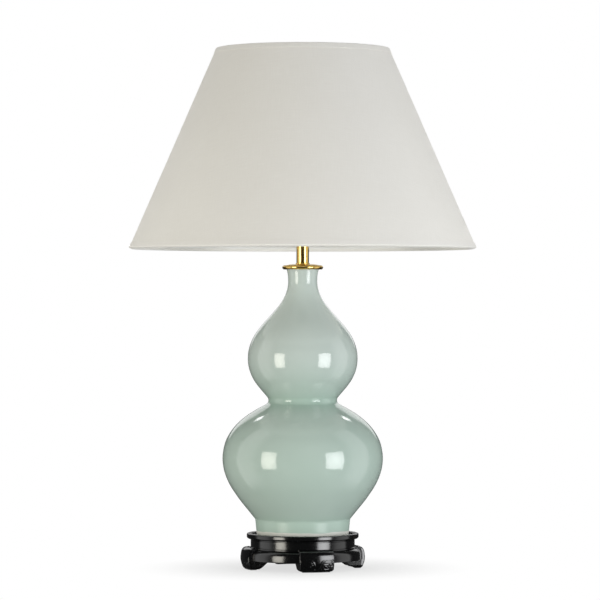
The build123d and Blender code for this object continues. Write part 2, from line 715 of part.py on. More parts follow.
save("rod_washer", ring(ROD_R + GLUE_GAP, WASHER_R, WAIST_TOP - WASHER_T, WAIST_TOP))
save("rod_nut", rod_nut())
ROD_BOTTOM = WAIST_TOP - WASHER_T - NUT_T - ROD_PROUD
save("threaded_rod", ring(ROD_BORE_R, ROD_R, ROD_BOTTOM, STEM_TOP + CUP_THREAD_H))
BUNG_R = NECK_R - VASE_WALL - GLUE_GAP
save("neck_bung", ring(ROD_R + ROD_HOLE_PLAY, BUNG_R, MOUTH_Z - BUNG_L, MOUTH_Z))
save("vase_cap", vase_cap())
save("stem_collar", stem_collar())
STEM_BORE = STEM_R - STEM_WALL
save("stem_tube", ring(STEM_BORE, STEM_R, STEM_BOTTOM, STEM_TOP))
save("stem_bush", ring(ROD_R + GLUE_GAP, STEM_BORE - PRESS_GAP, STEM_TOP - SPIGOT_L, STEM_TOP))

save("holder_cup", holder_cup())
save("terminal_block", terminal_block())
save("terminal_screws", terminal_screws())
save("holder_shell", holder_shell())
save("holder_insert", holder_insert())
save("screw_shell", screw_shell())
INSERT_FLOOR = INSERT_Z + INSERT_FLOOR_T
save("centre_contact", contact_pin(CONTACT_TOP - 1.0, CONTACT_TOP, CONTACT_R))
SIDE_HEAD_Z = INSERT_FLOOR + SCREW_SHELL_T
save("side_contact", Pos(SIDE_PLACE, 0, 0) * contact_pin(SIDE_HEAD_Z, SIDE_HEAD_Z + 0.8, SIDE_HEAD_R))
save("switch_bar", switch_bar_piece(bar(SWITCH_R, (-SWITCH_L / 2, 0, 0), (SWITCH_L / 2, 0, 0))))
save("switch_knob_left", switch_knob(-1))
save("switch_knob_right", switch_knob(1))
save("shade_ring_lower", shade_ring(RING_LOW_R, RING_LOW_Z, RING_LOW_T))
save("shade_ring_upper", shade_ring(RING_UP_R, RING_UP_Z, RING_UP_T))

save("bulb_tip", ring(0, TIP_R, BULB_BOTTOM, BULB_BOTTOM + TIP_H))
save("bulb_insulator", bulb_insulator())
save("bulb_cap", bulb_cap())
save("bulb_glass", bulb_glass())

save("gimbal_stirrup", gimbal_stirrup())
save("gimbal_pivot_left", gimbal_pivot(-1))
save("gimbal_pivot_right", gimbal_pivot(1))
save("gimbal_ring", gimbal_ring())
for number, arm_angle in enumerate(ARM_ANGLES, 1):
    save(f"shade_arm_{number}", shade_arm(arm_angle))
save("shade_wire_top", wire_ring(SHADE_TOP - WIRE_INSET))
save("shade_wire_bottom", wire_ring(SHADE_BOTTOM + WIRE_INSET))
save("shade_fabric", cone_skin(0, FABRIC_T, SHADE_BOTTOM, SHADE_TOP))
save("shade_lining", cone_skin(FABRIC_T + GLUE_GAP, LINING_T, SHADE_BOTTOM, SHADE_TOP))
save("shade_tape_bottom", shade_tape(SHADE_BOTTOM, 1))
top_tape = shade_tape(SHADE_TOP, -1)
for arm_angle in ARM_ANGLES:
    top_tape -= Rot(Z=arm_angle) * arm_run(ARM_R + GLUE_GAP)    # the tape is slit at each arm
save("shade_tape_top", top_tape)
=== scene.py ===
# %% [markdown]
# # A double gourd table lamp
#
# This notebook dresses a lamp that is already built as a mechanical model: every piece has its real size
# and its place, in metres, with +Z up and the origin on the floor under the lamp's axis. What is still
# missing is the look. Each step below says what a piece or a finish is on the real lamp, how it could be
# made in Blender, and why it is made the way it is.
#
# The first step loads the mechanical model. It stays as it is: a piece whose shape is plain but right only
# gets a finish, and a piece that needs more gets a new mesh that stands for it.

import math

import bmesh
import bpy
import numpy as np
from mathutils import Matrix, Vector


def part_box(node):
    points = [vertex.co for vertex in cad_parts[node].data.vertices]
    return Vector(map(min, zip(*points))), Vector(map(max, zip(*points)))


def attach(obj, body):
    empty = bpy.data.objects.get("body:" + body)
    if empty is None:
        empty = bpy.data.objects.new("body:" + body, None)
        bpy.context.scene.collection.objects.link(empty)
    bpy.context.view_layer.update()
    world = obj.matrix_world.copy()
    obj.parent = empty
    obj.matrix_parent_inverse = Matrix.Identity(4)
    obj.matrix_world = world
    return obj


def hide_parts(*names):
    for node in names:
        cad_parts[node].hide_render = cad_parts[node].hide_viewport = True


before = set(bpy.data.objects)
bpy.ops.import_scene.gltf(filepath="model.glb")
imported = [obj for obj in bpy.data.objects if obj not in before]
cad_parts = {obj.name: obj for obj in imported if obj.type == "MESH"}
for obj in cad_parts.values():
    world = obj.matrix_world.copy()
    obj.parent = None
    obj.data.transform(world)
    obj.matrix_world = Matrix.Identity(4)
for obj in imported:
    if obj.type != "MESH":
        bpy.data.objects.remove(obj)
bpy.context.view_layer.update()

# %% [markdown]
# Shapes are written in millimetres, because that is how a lamp maker thinks of them, and one factor turns
# them into Blender's metres. Places come from the loaded model wherever it can give them.

# %% Millimetres, places and new objects
MM = 0.001


def low(node):
    """Lowest corner of a piece of the model, in millimetres."""
    return np.array(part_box(node)[0]) / MM


def high(node):
    """Highest corner of a piece of the model, in millimetres."""
    return np.array(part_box(node)[1]) / MM


def round_size(node):
    """Outer radius, bottom and top of a round piece of the model, in millimetres."""
    return high(node)[0], low(node)[2], high(node)[2]


def linked(name, data):
    """A new object of the scene that shows this data."""
    made = bpy.data.objects.new(name, data)
    bpy.context.scene.collection.objects.link(made)
    return made


print("radius, bottom and top of the vase:", *np.round(round_size("vase"), 1))

# %% [markdown]
# ## The camera
#
# The lamp is seen from its own height with a long lens, so its upright lines stay upright and its ellipses
# are nearly flat. The camera stands a little to the left of the front foot. A long lens from far away could
# be made as an orthographic camera, but then the rims of the shade would have no depth at all.

# %% Camera
CAMERA_TURN = math.radians(-14)     # round the lamp, from the front foot
CAMERA_FAR = 4.84
CAMERA_HIGH = 0.393
LENS = 198
SIDE_SHIFT = -0.0045                # the lamp stands a little right of the picture's middle


def around(turn, far, height):
    """A point round the lamp: turn is an angle from the front (-Y) towards the right (+X)."""
    return Vector((math.sin(turn) * far, -math.cos(turn) * far, height))


camera = linked("camera", bpy.data.cameras.new("camera"))
camera.location = around(CAMERA_TURN, CAMERA_FAR, CAMERA_HIGH)
camera.rotation_euler = (-around(CAMERA_TURN, 1, 0)).to_track_quat("-Z", "Y").to_euler()
camera.data.lens = LENS
camera.data.shift_x = SIDE_SHIFT
bpy.context.scene.camera = camera
bpy.context.scene.view_settings.view_transform = "Standard"
print("camera at", tuple(round(x, 3) for x in camera.location))

# %% [markdown]
# ## Shader arithmetic
#
# Node trees are hard to read as code, so three small classes hide the wiring. `Signal` stands for one output
# socket, and arithmetic on it adds Math nodes. `Nodes` is a node tree being filled: its `node` method adds
# any node from its type, its settings and what goes into its sockets. `Finish` is the node tree of a
# material, with the places and patterns that a finish is made from.

# %% Signal and Nodes
def both_ways(operation):
    """An operator and its reflected form: the signal on the left, and the signal on the right."""
    return (lambda signal, other: signal.math(operation, signal, other),
            lambda signal, other: signal.math(operation, other, signal))


class Signal:
    """One output of a node. Arithmetic on it adds Math nodes to the same tree."""

    __add__, __radd__ = both_ways("ADD")
    __sub__, __rsub__ = both_ways("SUBTRACT")
    __mul__, __rmul__ = both_ways("MULTIPLY")
    __truediv__, __rtruediv__ = both_ways("DIVIDE")

    def __init__(self, nodes, socket):
        self.nodes = nodes
        self.socket = socket

    def math(self, operation, *values):
        """A Math node on these values, which are signals or numbers."""
        return self.nodes.node("ShaderNodeMath", {"operation": operation}, dict(enumerate(values)))

    def power(self, exponent):
        return self.math("POWER", self, exponent)

    def sine(self):
        return self.math("SINE", self)

    def size(self):
        return self.math("ABSOLUTE", self)

    def band(self, start, end):
        """0 before start, 1 after end, smooth between them."""
        inputs = {"Value": self, "From Min": start, "From Max": end}
        return self.nodes.node("ShaderNodeMapRange", {"interpolation_type": "SMOOTHSTEP"}, inputs)

    def window(self, start, whole, going, end):
        """0 before start, 1 from whole to going, 0 after end."""
        return self.band(start, whole) * (1 - self.band(going, end))

    def bump_round(self, middle, width):
        """1 at the middle value, falling smoothly to 0 at a width either side."""
        return 1 - (self - middle).size().band(0, width)


class Nodes:
    """A node tree being filled."""

    def __init__(self, tree):
        self.tree = tree

    def feed(self, socket, value):
        """Link a signal to a socket, or write a plain value on it."""
        if isinstance(value, Signal):
            self.tree.links.new(value.socket, socket)
        else:
            socket.default_value = value

    def node(self, kind, settings, inputs, output=0):
        """Add a node: its settings first, then the values or signals of its sockets."""
        made = self.tree.nodes.new(kind)
        for name, value in settings.items():
            setattr(made, name, value)
        for place, value in inputs.items():
            self.feed(made.inputs[place], value)
        return Signal(self, made.outputs[output])

    def place(self):
        """Where a point of the surface is, in metres."""
        return self.node("ShaderNodeTexCoord", {}, {}, "Object")

    def part(self, vector, axis):
        """One coordinate of a vector: 0, 1 or 2 for x, y or z."""
        return self.node("ShaderNodeSeparateXYZ", {}, {0: vector}, axis)

    def ray(self, kind):
        """1 for rays of a kind, such as Camera or Glossy, and 0 for the others."""
        return self.node("ShaderNodeLightPath", {}, {}, f"Is {kind} Ray")


def rgb(red, green, blue):
    """A colour from the shares of light that it sends back, as a colour socket takes it."""
    return (red, green, blue, 1.0)


print("Signal and Nodes ready")

# %% Finish
class Finish(Nodes):
    """A material being made, with its Principled shader."""

    def __init__(self, name, uniform):
        self.material = bpy.data.materials.new(name)
        self.material.use_nodes = True
        super().__init__(self.material.node_tree)
        self.shader = self.tree.nodes["Principled BSDF"]
        for socket, value in uniform.items():
            self.shader.inputs[socket].default_value = value
        print("finish", name)

    def cloth_place(self):
        """Where a point of the cloth lay before it was cut and bent, in metres."""
        return self.node("ShaderNodeUVMap", {"uv_map": "cloth"}, {})

    def vector(self, x, y, z):
        """A vector from three signals or numbers."""
        return self.node("ShaderNodeCombineXYZ", {}, {0: x, 1: y, 2: z})

    def radius(self, vector):
        """Distance from the lamp's axis, in metres."""
        x, y = self.part(vector, 0), self.part(vector, 1)
        return (x * x + y * y).power(0.5)

    def ring_place(self, vector):
        """(radius, height, 0): a pattern read here can only change from ring to ring."""
        return self.vector(self.radius(vector), self.part(vector, 2), 0.0)

    def noise(self, vector, scale, detail=3.0, rough=0.5):
        """Soft noise between 0 and 1; scale is in waves to the metre."""
        inputs = {"Vector": vector, "Scale": scale, "Detail": detail, "Roughness": rough}
        return self.node("ShaderNodeTexNoise", {}, inputs)

    def specks(self, vector, scale):
        """Distance to the nearest of many scattered points, in cells."""
        return self.node("ShaderNodeTexVoronoi", {}, {"Vector": vector, "Scale": scale})

    def mix(self, factor, first, second):
        """A colour between two: the first at factor 0, the second at 1."""
        return self.node("ShaderNodeMix", {"data_type": "RGBA"}, {0: factor, 6: first, 7: second}, 2)

    def set(self, socket, value):
        """Give the shader's socket a signal or a value."""
        self.feed(self.shader.inputs[socket], value)

    def relief(self, height, depth):
        """Bump from a signal of heights between 0 and 1; depth is the real depth in metres."""
        inputs = {"Strength": 1.0, "Distance": depth, "Height": height}
        self.set("Normal", self.node("ShaderNodeBump", {}, inputs))


print("Finish ready")

# %% [markdown]
# Most small pieces have a plain finish: one colour that drifts a little, gloss that drifts with it, and a
# fine relief. Each could be a tree of its own, but they differ only in numbers, so one function makes them.

# %% Cloudy finishes
def cloudy_finish(name, uniform, cloud, edges, colours, rough=None, fine=None, depth=0.0):
    """A noise (scale, detail, roughness) mixes two colours, first pushed apart between its edges.
    It also gives the roughness (least, span); it or a finer noise gives the relief."""
    finish = Finish(name, uniform)
    place = finish.place()
    drift = finish.noise(place, *cloud)
    finish.set("Base Color", finish.mix(drift.band(*edges) if edges else drift, *colours))
    if rough:
        finish.set("Roughness", rough[0] + drift * rough[1])
    if depth:
        finish.relief(finish.noise(place, *fine) if fine else drift, depth)
    return finish


print("cloudy finishes ready")

# %% [markdown]
# ## The studio
#
# The background is white for the camera, for mirrors and for glass. For everything else the world is only a
# plain grey light, a little stronger from below, as if a pale table sent light back. That way the picture
# is white without more light on the lamp. The floor is a small pale disc that keeps the lamp's shadow and
# fades into the white background towards its rim. Reflections don't see it, because a photographer's small
# table hardly shows in the lacquer.

# %% World
AMBIENT = 0.35
FROM_BELOW = 0.12       # how much stronger the plain light is from straight below
world = bpy.data.worlds.new("studio")
bpy.context.scene.world = world
world.use_nodes = True
sky = Nodes(world.node_tree)
upwards = sky.part(sky.node("ShaderNodeTexCoord", {}, {}, "Generated"), 2)
white = sky.ray("Camera")
for kind in ("Glossy", "Transmission"):
    white = white.math("MAXIMUM", white, sky.ray(kind))
plain = AMBIENT - upwards * FROM_BELOW
background = sky.tree.nodes["Background"]
sky.feed(background.inputs["Strength"], plain + (1 - plain) * white)
background.inputs["Color"].default_value = rgb(1, 1, 1)
print("plain light", AMBIENT)

# %% [markdown]
# New pieces are grids of points: rows of a profile, and columns round an axis or along a path. Blender could
# spin or sweep a drawn curve, but arrays keep exact sizes, and one function makes every grid a mesh.

# %% Grids of points
def spun(profile, segments):
    """A profile of (radius, height) carried round the axis: (r cos a, r sin a, z)."""
    a = np.linspace(0, 2 * np.pi, segments, endpoint=False)
    r, z = profile[:, :1], profile[:, 1:]
    return np.stack([r * np.cos(a), r * np.sin(a), z + 0 * a], axis=-1)


def grid_mesh(name, points, close_rows=True, close_columns=True):
    """A mesh from rows of points in metres. Its quads join (i, j), (i+1, j), (i+1, j+1) and
    (i, j+1), and go on from the last row or column to the first where that side is closed."""
    rows, columns = points.shape[:2]
    i, j = np.meshgrid(
        np.arange(rows - (not close_rows)), np.arange(columns - (not close_columns)), indexing="ij")
    i, j = i.ravel(), j.ravel()
    i_next, j_next = (i + 1) % rows, (j + 1) % columns
    faces = np.column_stack([
        i * columns + j, i_next * columns + j, i_next * columns + j_next, i * columns + j_next])
    mesh = bpy.data.meshes.new(name)
    mesh.vertices.add(rows * columns)
    mesh.vertices.foreach_set("co", points.astype(np.float32).ravel())
    mesh.loops.add(faces.size)
    mesh.loops.foreach_set("vertex_index", faces.astype(np.int32).ravel())
    mesh.polygons.add(len(faces))
    mesh.polygons.foreach_set("loop_start", np.arange(0, faces.size, 4, dtype=np.int32))
    mesh.update(calc_edges=True)
    return linked(name, mesh)


print("grid helpers ready")

# %% Floor
FLOOR_R = 0.30
FLOOR_Z = -0.0002
floor_line = np.column_stack([np.linspace(0.001, FLOOR_R, 24), np.full(24, FLOOR_Z)])
floor = grid_mesh("floor", spun(floor_line, 96), close_rows=False)
PAPER = {"Base Color": rgb(0.86, 0.86, 0.86), "Roughness": 0.9, "Specular IOR Level": 0.1}
LIFTED = 0.68           # how far the floor is lifted to white in the middle; at the rim it is white
paper = Finish("paper_floor", PAPER)
rim = paper.radius(paper.place()).band(0.08, 0.26)
glow = paper.node("ShaderNodeEmission", {}, {"Color": rgb(1, 1, 1), "Strength": 1.0})
lift = paper.ray("Camera") * (LIFTED + rim * (1 - LIFTED))
lit = Signal(paper, paper.shader.outputs[0])
faded = paper.node("ShaderNodeMixShader", {}, {0: lift, 1: lit, 2: glow})
paper.tree.links.new(faded.socket, paper.tree.nodes["Material Output"].inputs["Surface"])
floor.data.materials.append(paper.material)
floor.visible_glossy = False
print("floor radius", FLOOR_R)

# %% [markdown]
# Two tall soft boxes stand left and right of the camera, at the height of the vase, the left one warmer.
# They give the glaze its two window-like highlights, so their faces aren't even: each is brightest in the
# middle and fades in the last centimetres, as a lamp behind a white cloth does. Blender wants the power of
# a lamp, and that is the light of its face, which a reflection shows, times pi times its area. Weaker lamps
# light the sides and the back, and reflections don't see them.

# %% Soft lamps
LAMP_FAR = 2.0


def soft_lamp(name, turn_from_camera, height, wide, tall, face_light, colour):
    """A soft box that faces the foot of the lamp; the camera doesn't see it."""
    data = bpy.data.lights.new(name, "AREA")
    data.shape = "RECTANGLE"
    data.size = wide
    data.size_y = tall
    data.energy = face_light * math.pi * wide * tall
    data.color = colour
    data.use_nodes = True
    face = Nodes(data.node_tree)
    across = face.node("ShaderNodeNewGeometry", {}, {}, "Parametric")
    out_x = (face.part(across, 0) - 0.5).size()
    out_y = (face.part(across, 1) - 0.5).size()
    edge_fade = (1 - out_x.band(0.44, 0.5)) * (1 - out_y.band(0.44, 0.5))
    core = 1.25 - (out_x * out_x + out_y * out_y) * 1.6
    face.feed(face.tree.nodes["Emission"].inputs["Strength"], core * edge_fade)
    made = linked(name, data)
    made.location = around(CAMERA_TURN + math.radians(turn_from_camera), LAMP_FAR, height)
    made.rotation_euler = made.location.to_track_quat("Z", "Y").to_euler()
    made.visible_camera = False
    return made


COOL, WARM, PLAIN = (0.975, 0.985, 1.0), (1.0, 0.965, 0.87), (1.0, 0.99, 0.97)
KEY_HIGH, KEY_TALL = 0.125, 1.34
soft_lamp("key_right", 46.3, KEY_HIGH, 1.04, KEY_TALL, 6.5, COOL)
soft_lamp("key_left", -48.9, KEY_HIGH, 0.86, KEY_TALL, 6.0, WARM)
FILL_HIGH, FILL_WIDE, FILL_TALL = 0.45, 1.0, 1.3
fill_lamps = {
    "side_right": (80, 1.3), "side_left": (-72, 1.0), "back_right": (148, 2.6), "back_left": (-148, 2.6)}
for name, (turn, face_light) in fill_lamps.items():
    soft_lamp(name, turn, FILL_HIGH, FILL_WIDE, FILL_TALL, face_light, PLAIN).visible_glossy = False
print("six soft lamps")

# %% [markdown]
# Round the set hangs a dark curtain that only reflections see: without it glaze and lacquer would mirror
# white from every side and lose their depth. Behind the lamp it glows between about 11 and 34 degrees above
# the table, as if it were open there, so shoulders catch a white background inside a thin dark edge. A
# narrow slit below does the same for the stand's level rims. A bright panel hangs at either side, and a
# small lamp stands high at each back corner. It could be several flat boards, but one sphere whose glow
# depends on the direction does the same in one piece. A direction is the angle round the set from the
# camera, in degrees, and the sine of the angle above the table.

# %% Dark curtain
CURTAIN_R = 3.2
CURTAIN_GLOW = 0.04
PANEL_GLOW = 0.95
CORNER_GLOW = 8
rise = np.radians(np.linspace(-89, 89, 90))
dome = np.column_stack([np.cos(rise), np.sin(rise)]) * CURTAIN_R
curtain = grid_mesh("curtain", spun(dome, 96), close_rows=False)
dark = Finish("dark_curtain", {"Base Color": rgb(0, 0, 0), "Specular IOR Level": 0.0, "Roughness": 1.0})
hung = dark.place()
toward = around(CAMERA_TURN, 1, 0)
x, y = dark.part(hung, 0), dark.part(hung, 1)
near = x * toward.x + y * toward.y
aside = (y * toward.x - x * toward.y).size()
degrees = near.math("ARCTAN2", aside, near) * (180 / math.pi)
climb = dark.part(hung, 2) / CURTAIN_R
panels = degrees.window(60, 84, 104, 112) * climb.band(-0.75, -0.45)
open_back = degrees.band(150, 157) * climb.window(0.17, 0.22, 0.52, 0.60)
slit = degrees.band(170, 175) * climb.window(0.074, 0.082, 0.100, 0.108)
corners = degrees.bump_round(145.5, 6) * climb.bump_round(0.70, 0.075)
dark.set("Emission Color", rgb(1, 1, 1))
dark.set("Emission Strength", CURTAIN_GLOW + panels * PANEL_GLOW + open_back + slit + corners * CORNER_GLOW)
curtain.data.materials.append(dark.material)
for kind in ("camera", "diffuse", "transmission", "shadow"):
    setattr(curtain, f"visible_{kind}", False)
print("curtain radius", CURTAIN_R)

# %% [markdown]
# ## Making surfaces
#
# Nearly everything on this lamp was turned on a wheel or a lathe, so nearly everything is a profile carried
# round an axis. Primitives with bevels could do it, but a profile made of arcs, swelling curves and eased
# corners puts points only where the curve needs them, and rounds every edge as a maker would.

# %% Profiles
def arc(centre, radius, start, end, steps):
    """Centre plus radius times (cos, sin) of an angle that runs evenly from start to end, in degrees."""
    angle = np.radians(np.linspace(start, end, steps + 1))
    return np.array(centre, float) + radius * np.column_stack([np.cos(angle), np.sin(angle)])


def swell(start, start_angle, end, end_angle, fullness, steps):
    """A cubic curve that leaves and arrives at the given angles: four points weighted by
    (1-t)^3, 3t(1-t)^2, 3t^2(1-t) and t^3. Fullness is how far each direction is kept."""
    first, last = np.array(start, float), np.array(end, float)
    chord = np.linalg.norm(last - first)
    angles = np.radians([start_angle, end_angle])
    leave, arrive = np.column_stack([np.cos(angles), np.sin(angles)])
    second, third = first + leave * chord * fullness[0], last - arrive * chord * fullness[1]
    t = np.linspace(0, 1, steps + 1)[:, None]
    return (1 - t) ** 3 * first + 3 * t * (1 - t) ** 2 * second + 3 * t ** 2 * (1 - t) * third + t ** 3 * last


def left_of(line):
    """Unit directions square to a line of points, on its left."""
    along = np.gradient(line, axis=0)
    along /= np.linalg.norm(along, axis=1, keepdims=True)
    return np.column_stack([-along[:, 1], along[:, 0]])


def eased(corners, radius, steps=4):
    """A closed outline with rounded corners. Each corner C becomes the curve
    (1-t)^2 P + 2t(1-t) C + t^2 Q, where P and Q lie back along its sides by the radius."""
    here = np.array(corners, float)
    back, ahead = np.roll(here, 1, axis=0) - here, np.roll(here, -1, axis=0) - here
    back_long = np.linalg.norm(back, axis=1, keepdims=True)
    ahead_long = np.linalg.norm(ahead, axis=1, keepdims=True)
    cut = np.minimum(np.reshape(radius, (-1, 1)), 0.45 * np.minimum(back_long, ahead_long))
    before, after = here + back / back_long * cut, here + ahead / ahead_long * cut
    t = np.linspace(0, 1, steps + 1)[None, :, None]
    rounded = (1 - t) ** 2 * before[:, None] + 2 * t * (1 - t) * here[:, None] + t ** 2 * after[:, None]
    return rounded.reshape(-1, 2)


def eased_box(inner, outer, bottom, top, radius):
    """The section of a plain ring, with rounded corners."""
    return eased([(inner, bottom), (outer, bottom), (outer, top), (inner, top)], radius)


print("an eased ring section has", len(eased_box(5, 8, 0, 4, 0.5)), "points")

# %% [markdown]
# A grid closed on itself needs three finishing steps: merge the points that fall on each other, turn every
# face outwards, and keep edges sharp only where the surface really breaks. `shaped` does this for every
# piece and then dresses it. A dressing is a finish, the body that the piece moves with and its material
# slot; `nodes` are the pieces of the model that it stands for.

# %% From arrays to pieces
MERGE = 2e-6
SHARP = math.radians(38)


def smooth(mesh):
    """Smooth shading, with edges kept sharp where the surface breaks."""
    mesh.polygons.foreach_set("use_smooth", np.ones(len(mesh.polygons), bool))
    mesh.set_sharp_from_angle(angle=SHARP)


def tidy(mesh):
    """Merge doubles, drop faces without area, close open ends and turn every face outwards."""
    work = bmesh.new()
    work.from_mesh(mesh)
    bmesh.ops.remove_doubles(work, verts=work.verts, dist=MERGE)
    bmesh.ops.dissolve_degenerate(work, dist=MERGE, edges=work.edges)
    open_edges = [side for side in work.edges if side.is_boundary]
    if open_edges:
        bmesh.ops.triangle_fill(work, use_beauty=True, edges=open_edges)
    bmesh.ops.recalc_face_normals(work, faces=work.faces)
    work.to_mesh(mesh)
    work.free()
    smooth(mesh)
    mesh.update()


def dress(piece, dressing, nodes):
    """Give a piece its finish and its body, and hide the model pieces that it stands for; the dressing's slot
    is not used.
    """
    finish, body, slot = dressing
    piece.data.materials.append(finish.material)
    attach(piece, body)
    if nodes:
        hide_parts(*nodes)
    print(f"{piece.name}: {len(piece.data.polygons)} faces")
    return piece


def shaped(name, points, dressing, nodes=(), close_rows=True, close_columns=True, cloth_uv=None):
    """A dressed piece from rows of points in millimetres."""
    piece = grid_mesh(name, points * MM, close_rows, close_columns)
    if cloth_uv is not None:
        corner = np.zeros(len(piece.data.loops), np.int32)
        piece.data.loops.foreach_get("vertex_index", corner)
        layer = piece.data.uv_layers.new(name="cloth")
        layer.data.foreach_set("uv", cloth_uv.reshape(-1, 2)[corner].astype(np.float32).ravel())
    tidy(piece.data)
    return dress(piece, dressing, nodes)


def turned(name, profile, dressing, nodes=(), segments=160, place=None):
    """A turned piece; place is a matrix for one whose axis isn't the lamp's."""
    points = spun(profile, segments)
    if place is not None:
        points = points @ np.array(place.to_3x3()).T + np.array(place.translation)
    return shaped(name, points, dressing, nodes)


def level_place(height, side=1, turn=0):
    """The place of a turned piece that lies level: its axis runs out along +X, or along -X where
    side is -1, and is then turned round the lamp's axis."""
    return (Matrix.Translation((0, 0, height)) @ Matrix.Rotation(math.radians(turn), 4, "Z")
            @ Matrix.Rotation(side * math.pi / 2, 4, "Y"))


def reach(node):
    """How far a piece beside the axis is from it along X: its near and its far end."""
    return sorted((abs(low(node)[0]), abs(high(node)[0])))


def swung(points, turn):
    """Points turned round the lamp's axis by an angle in degrees."""
    return points @ np.array(Matrix.Rotation(math.radians(turn), 3, "Z")).T


QUARTERS = {"front": 0, "right": 90, "back": 180, "left": 270}
SIDES = {"left": -1, "right": 1}
print("piece helpers ready")

# %% [markdown]
# ## The celadon vase
#
# Celadon is a grey-green glaze over pale porcelain. It is glossy and thick: it runs down while it melts,
# gathers in the waist and above the foot, where it looks greener. The upper bulb is painted paler, a painted
# reflection of the white shade above it. The foot's rim is wiped clean and shows the bare white body. All of
# this follows the height on the vase, so bands of height mix the colours, and soft noise keeps them from
# being ruled lines.

# %% Celadon glaze
BELLY_R, VASE_BOTTOM, VASE_MOUTH = round_size("vase")
WAIST_Z = VASE_BOTTOM + 196.8
FOOT_TOP_Z = VASE_BOTTOM + 22.5
BARE_H = 6.6            # wiped foot that shows above the stand's lip


def celadon_glaze():
    """Thin on the lip, green where it pools, paled on the upper bulb by a painted reflection of the shade,
    dull and then bare towards the wiped foot.
    """
    glaze = Finish("celadon_glaze", {"IOR": 1.5, "Coat Roughness": 0.03, "Coat IOR": 1.5})
    place = glaze.place()
    z = glaze.part(place, 2)
    drift = glaze.noise(place, 26, 4, 0.55) - 0.5
    level = z + drift * 0.006
    pooled = level.bump_round((WAIST_Z - 2) * MM, 0.017) * 0.8
    foot = 1 - level.band((FOOT_TOP_Z - 4) * MM, (FOOT_TOP_Z + 14) * MM)
    # painted reflection: from above the waist the glaze is painted paler and greyer, as if it mirrored the
    # white shade
    upper = level.band((WAIST_Z + 8) * MM, (WAIST_Z + 75) * MM)
    thin = level.band((VASE_MOUTH - 2.5) * MM, VASE_MOUTH * MM) * 0.6
    cloudy = glaze.noise(place, 9, 3, 0.5).band(0.3, 0.7)
    body = glaze.mix(cloudy, rgb(0.402, 0.505, 0.450), rgb(0.432, 0.532, 0.479))
    # the paler colour here is the painted reflection of the shade on the upper bulb
    body = glaze.mix(upper, body, rgb(0.482, 0.556, 0.520))
    body = glaze.mix(pooled, body, rgb(0.355, 0.480, 0.412))
    body = glaze.mix(foot * 0.8, body, rgb(0.390, 0.515, 0.445))
    body = glaze.mix(thin, body, rgb(0.62, 0.66, 0.60))
    dots = glaze.specks(place, 150).band(0.10, 0.045) * glaze.noise(place, 40, 1).band(0.62, 0.7)
    body = glaze.mix(dots * 0.3, body, rgb(0.25, 0.27, 0.20))
    bare = 1 - level.band((VASE_BOTTOM + BARE_H - 0.8) * MM, (VASE_BOTTOM + BARE_H) * MM)
    grit = glaze.noise(place, 900, 2)
    white_body = glaze.mix(grit, rgb(0.60, 0.62, 0.57), rgb(0.70, 0.71, 0.66))
    glaze.set("Base Color", glaze.mix(bare, body, white_body))
    neck = level.band((VASE_MOUTH - 30) * MM, (VASE_MOUTH - 12) * MM)
    dull = 1 - level.band((FOOT_TOP_Z - 1) * MM, (FOOT_TOP_Z + 7) * MM)
    glaze.set("Roughness", 0.045 + glaze.noise(place, 60, 3) * 0.05 + dull * 0.22 + neck * 0.10 + bare * 0.2)
    glaze.set("Coat Weight", 0.30 - dull * 0.25)
    glaze.relief(glaze.noise(place, 70, 2, 0.4) * (1 - bare) + grit * bare * 0.4, 0.00010)
    return glaze


glazed = (celadon_glaze(), "base", "celadon")
print(f"glaze pools at {WAIST_Z:.0f} mm and on the foot below {FOOT_TOP_Z:.0f} mm")

# %% [markdown]
# The vase's outline is a chain of seven curves: the nearly straight foot, the belly, its shoulder, the tight
# waist, the upper bulb, the neck and the flare of the mouth. The inside follows it at the thickness of the
# wall. A wheel never leaves a perfect surface, so the radius also swells and shrinks by a tenth of a
# millimetre along the height, which is just enough to bend the edges of the highlights.

# %% Vase
BELLY_Z = VASE_BOTTOM + 111.5
FOOT_R, FOOT_TOP_R = 67.3, 69.6
CREASE_R, CREASE_ROUND = 50.2, 6.7
CREASE_IN, CREASE_OUT = 149, 51     # the directions in which the outline enters and leaves it
BULB_R, BULB_Z = 80.5, VASE_BOTTOM + 258
NECK_R, NECK_Z = 21.3, VASE_MOUTH - 19.5
MOUTH_R = 24.3
WALL = 5.0
VASE_FLOOR = 8.0
VASE_HOLE_R = 7.0
FOOT_RING_W, FOOT_RING_H = 12.0, 2.0
THROWING = 0.09         # height of the throwing rings
RING_STEP, RING_DRIFT = 4.1, 23     # how fast they follow each other, and how slowly they come and go
LIP_EASE = 1.6


def vase_outline():
    """The outer profile from foot to mouth."""
    foot_top, belly = (FOOT_TOP_R, FOOT_TOP_Z), (BELLY_R, BELLY_Z)
    bulb, neck = (BULB_R, BULB_Z), (NECK_R, NECK_Z)
    crease = arc((CREASE_R + CREASE_ROUND, WAIST_Z), CREASE_ROUND, CREASE_IN + 90, CREASE_OUT + 90, 16)
    return np.vstack([
        np.linspace((FOOT_R, VASE_BOTTOM), foot_top, 10)[:-1],
        swell(foot_top, 52, belly, 90, (0.35, 0.35), 34)[:-1],
        swell(belly, 90, crease[0], CREASE_IN, (0.5, 0.15), 36)[:-1],
        crease[:-1],
        swell(crease[-1], CREASE_OUT, bulb, 90, (0.25, 0.45), 26)[:-1],
        swell(bulb, 90, neck, 90, (0.4, 0.35), 40)[:-1],
        swell(neck, 90, (MOUTH_R, VASE_MOUTH), 70, (0.12, 0.43), 12)])


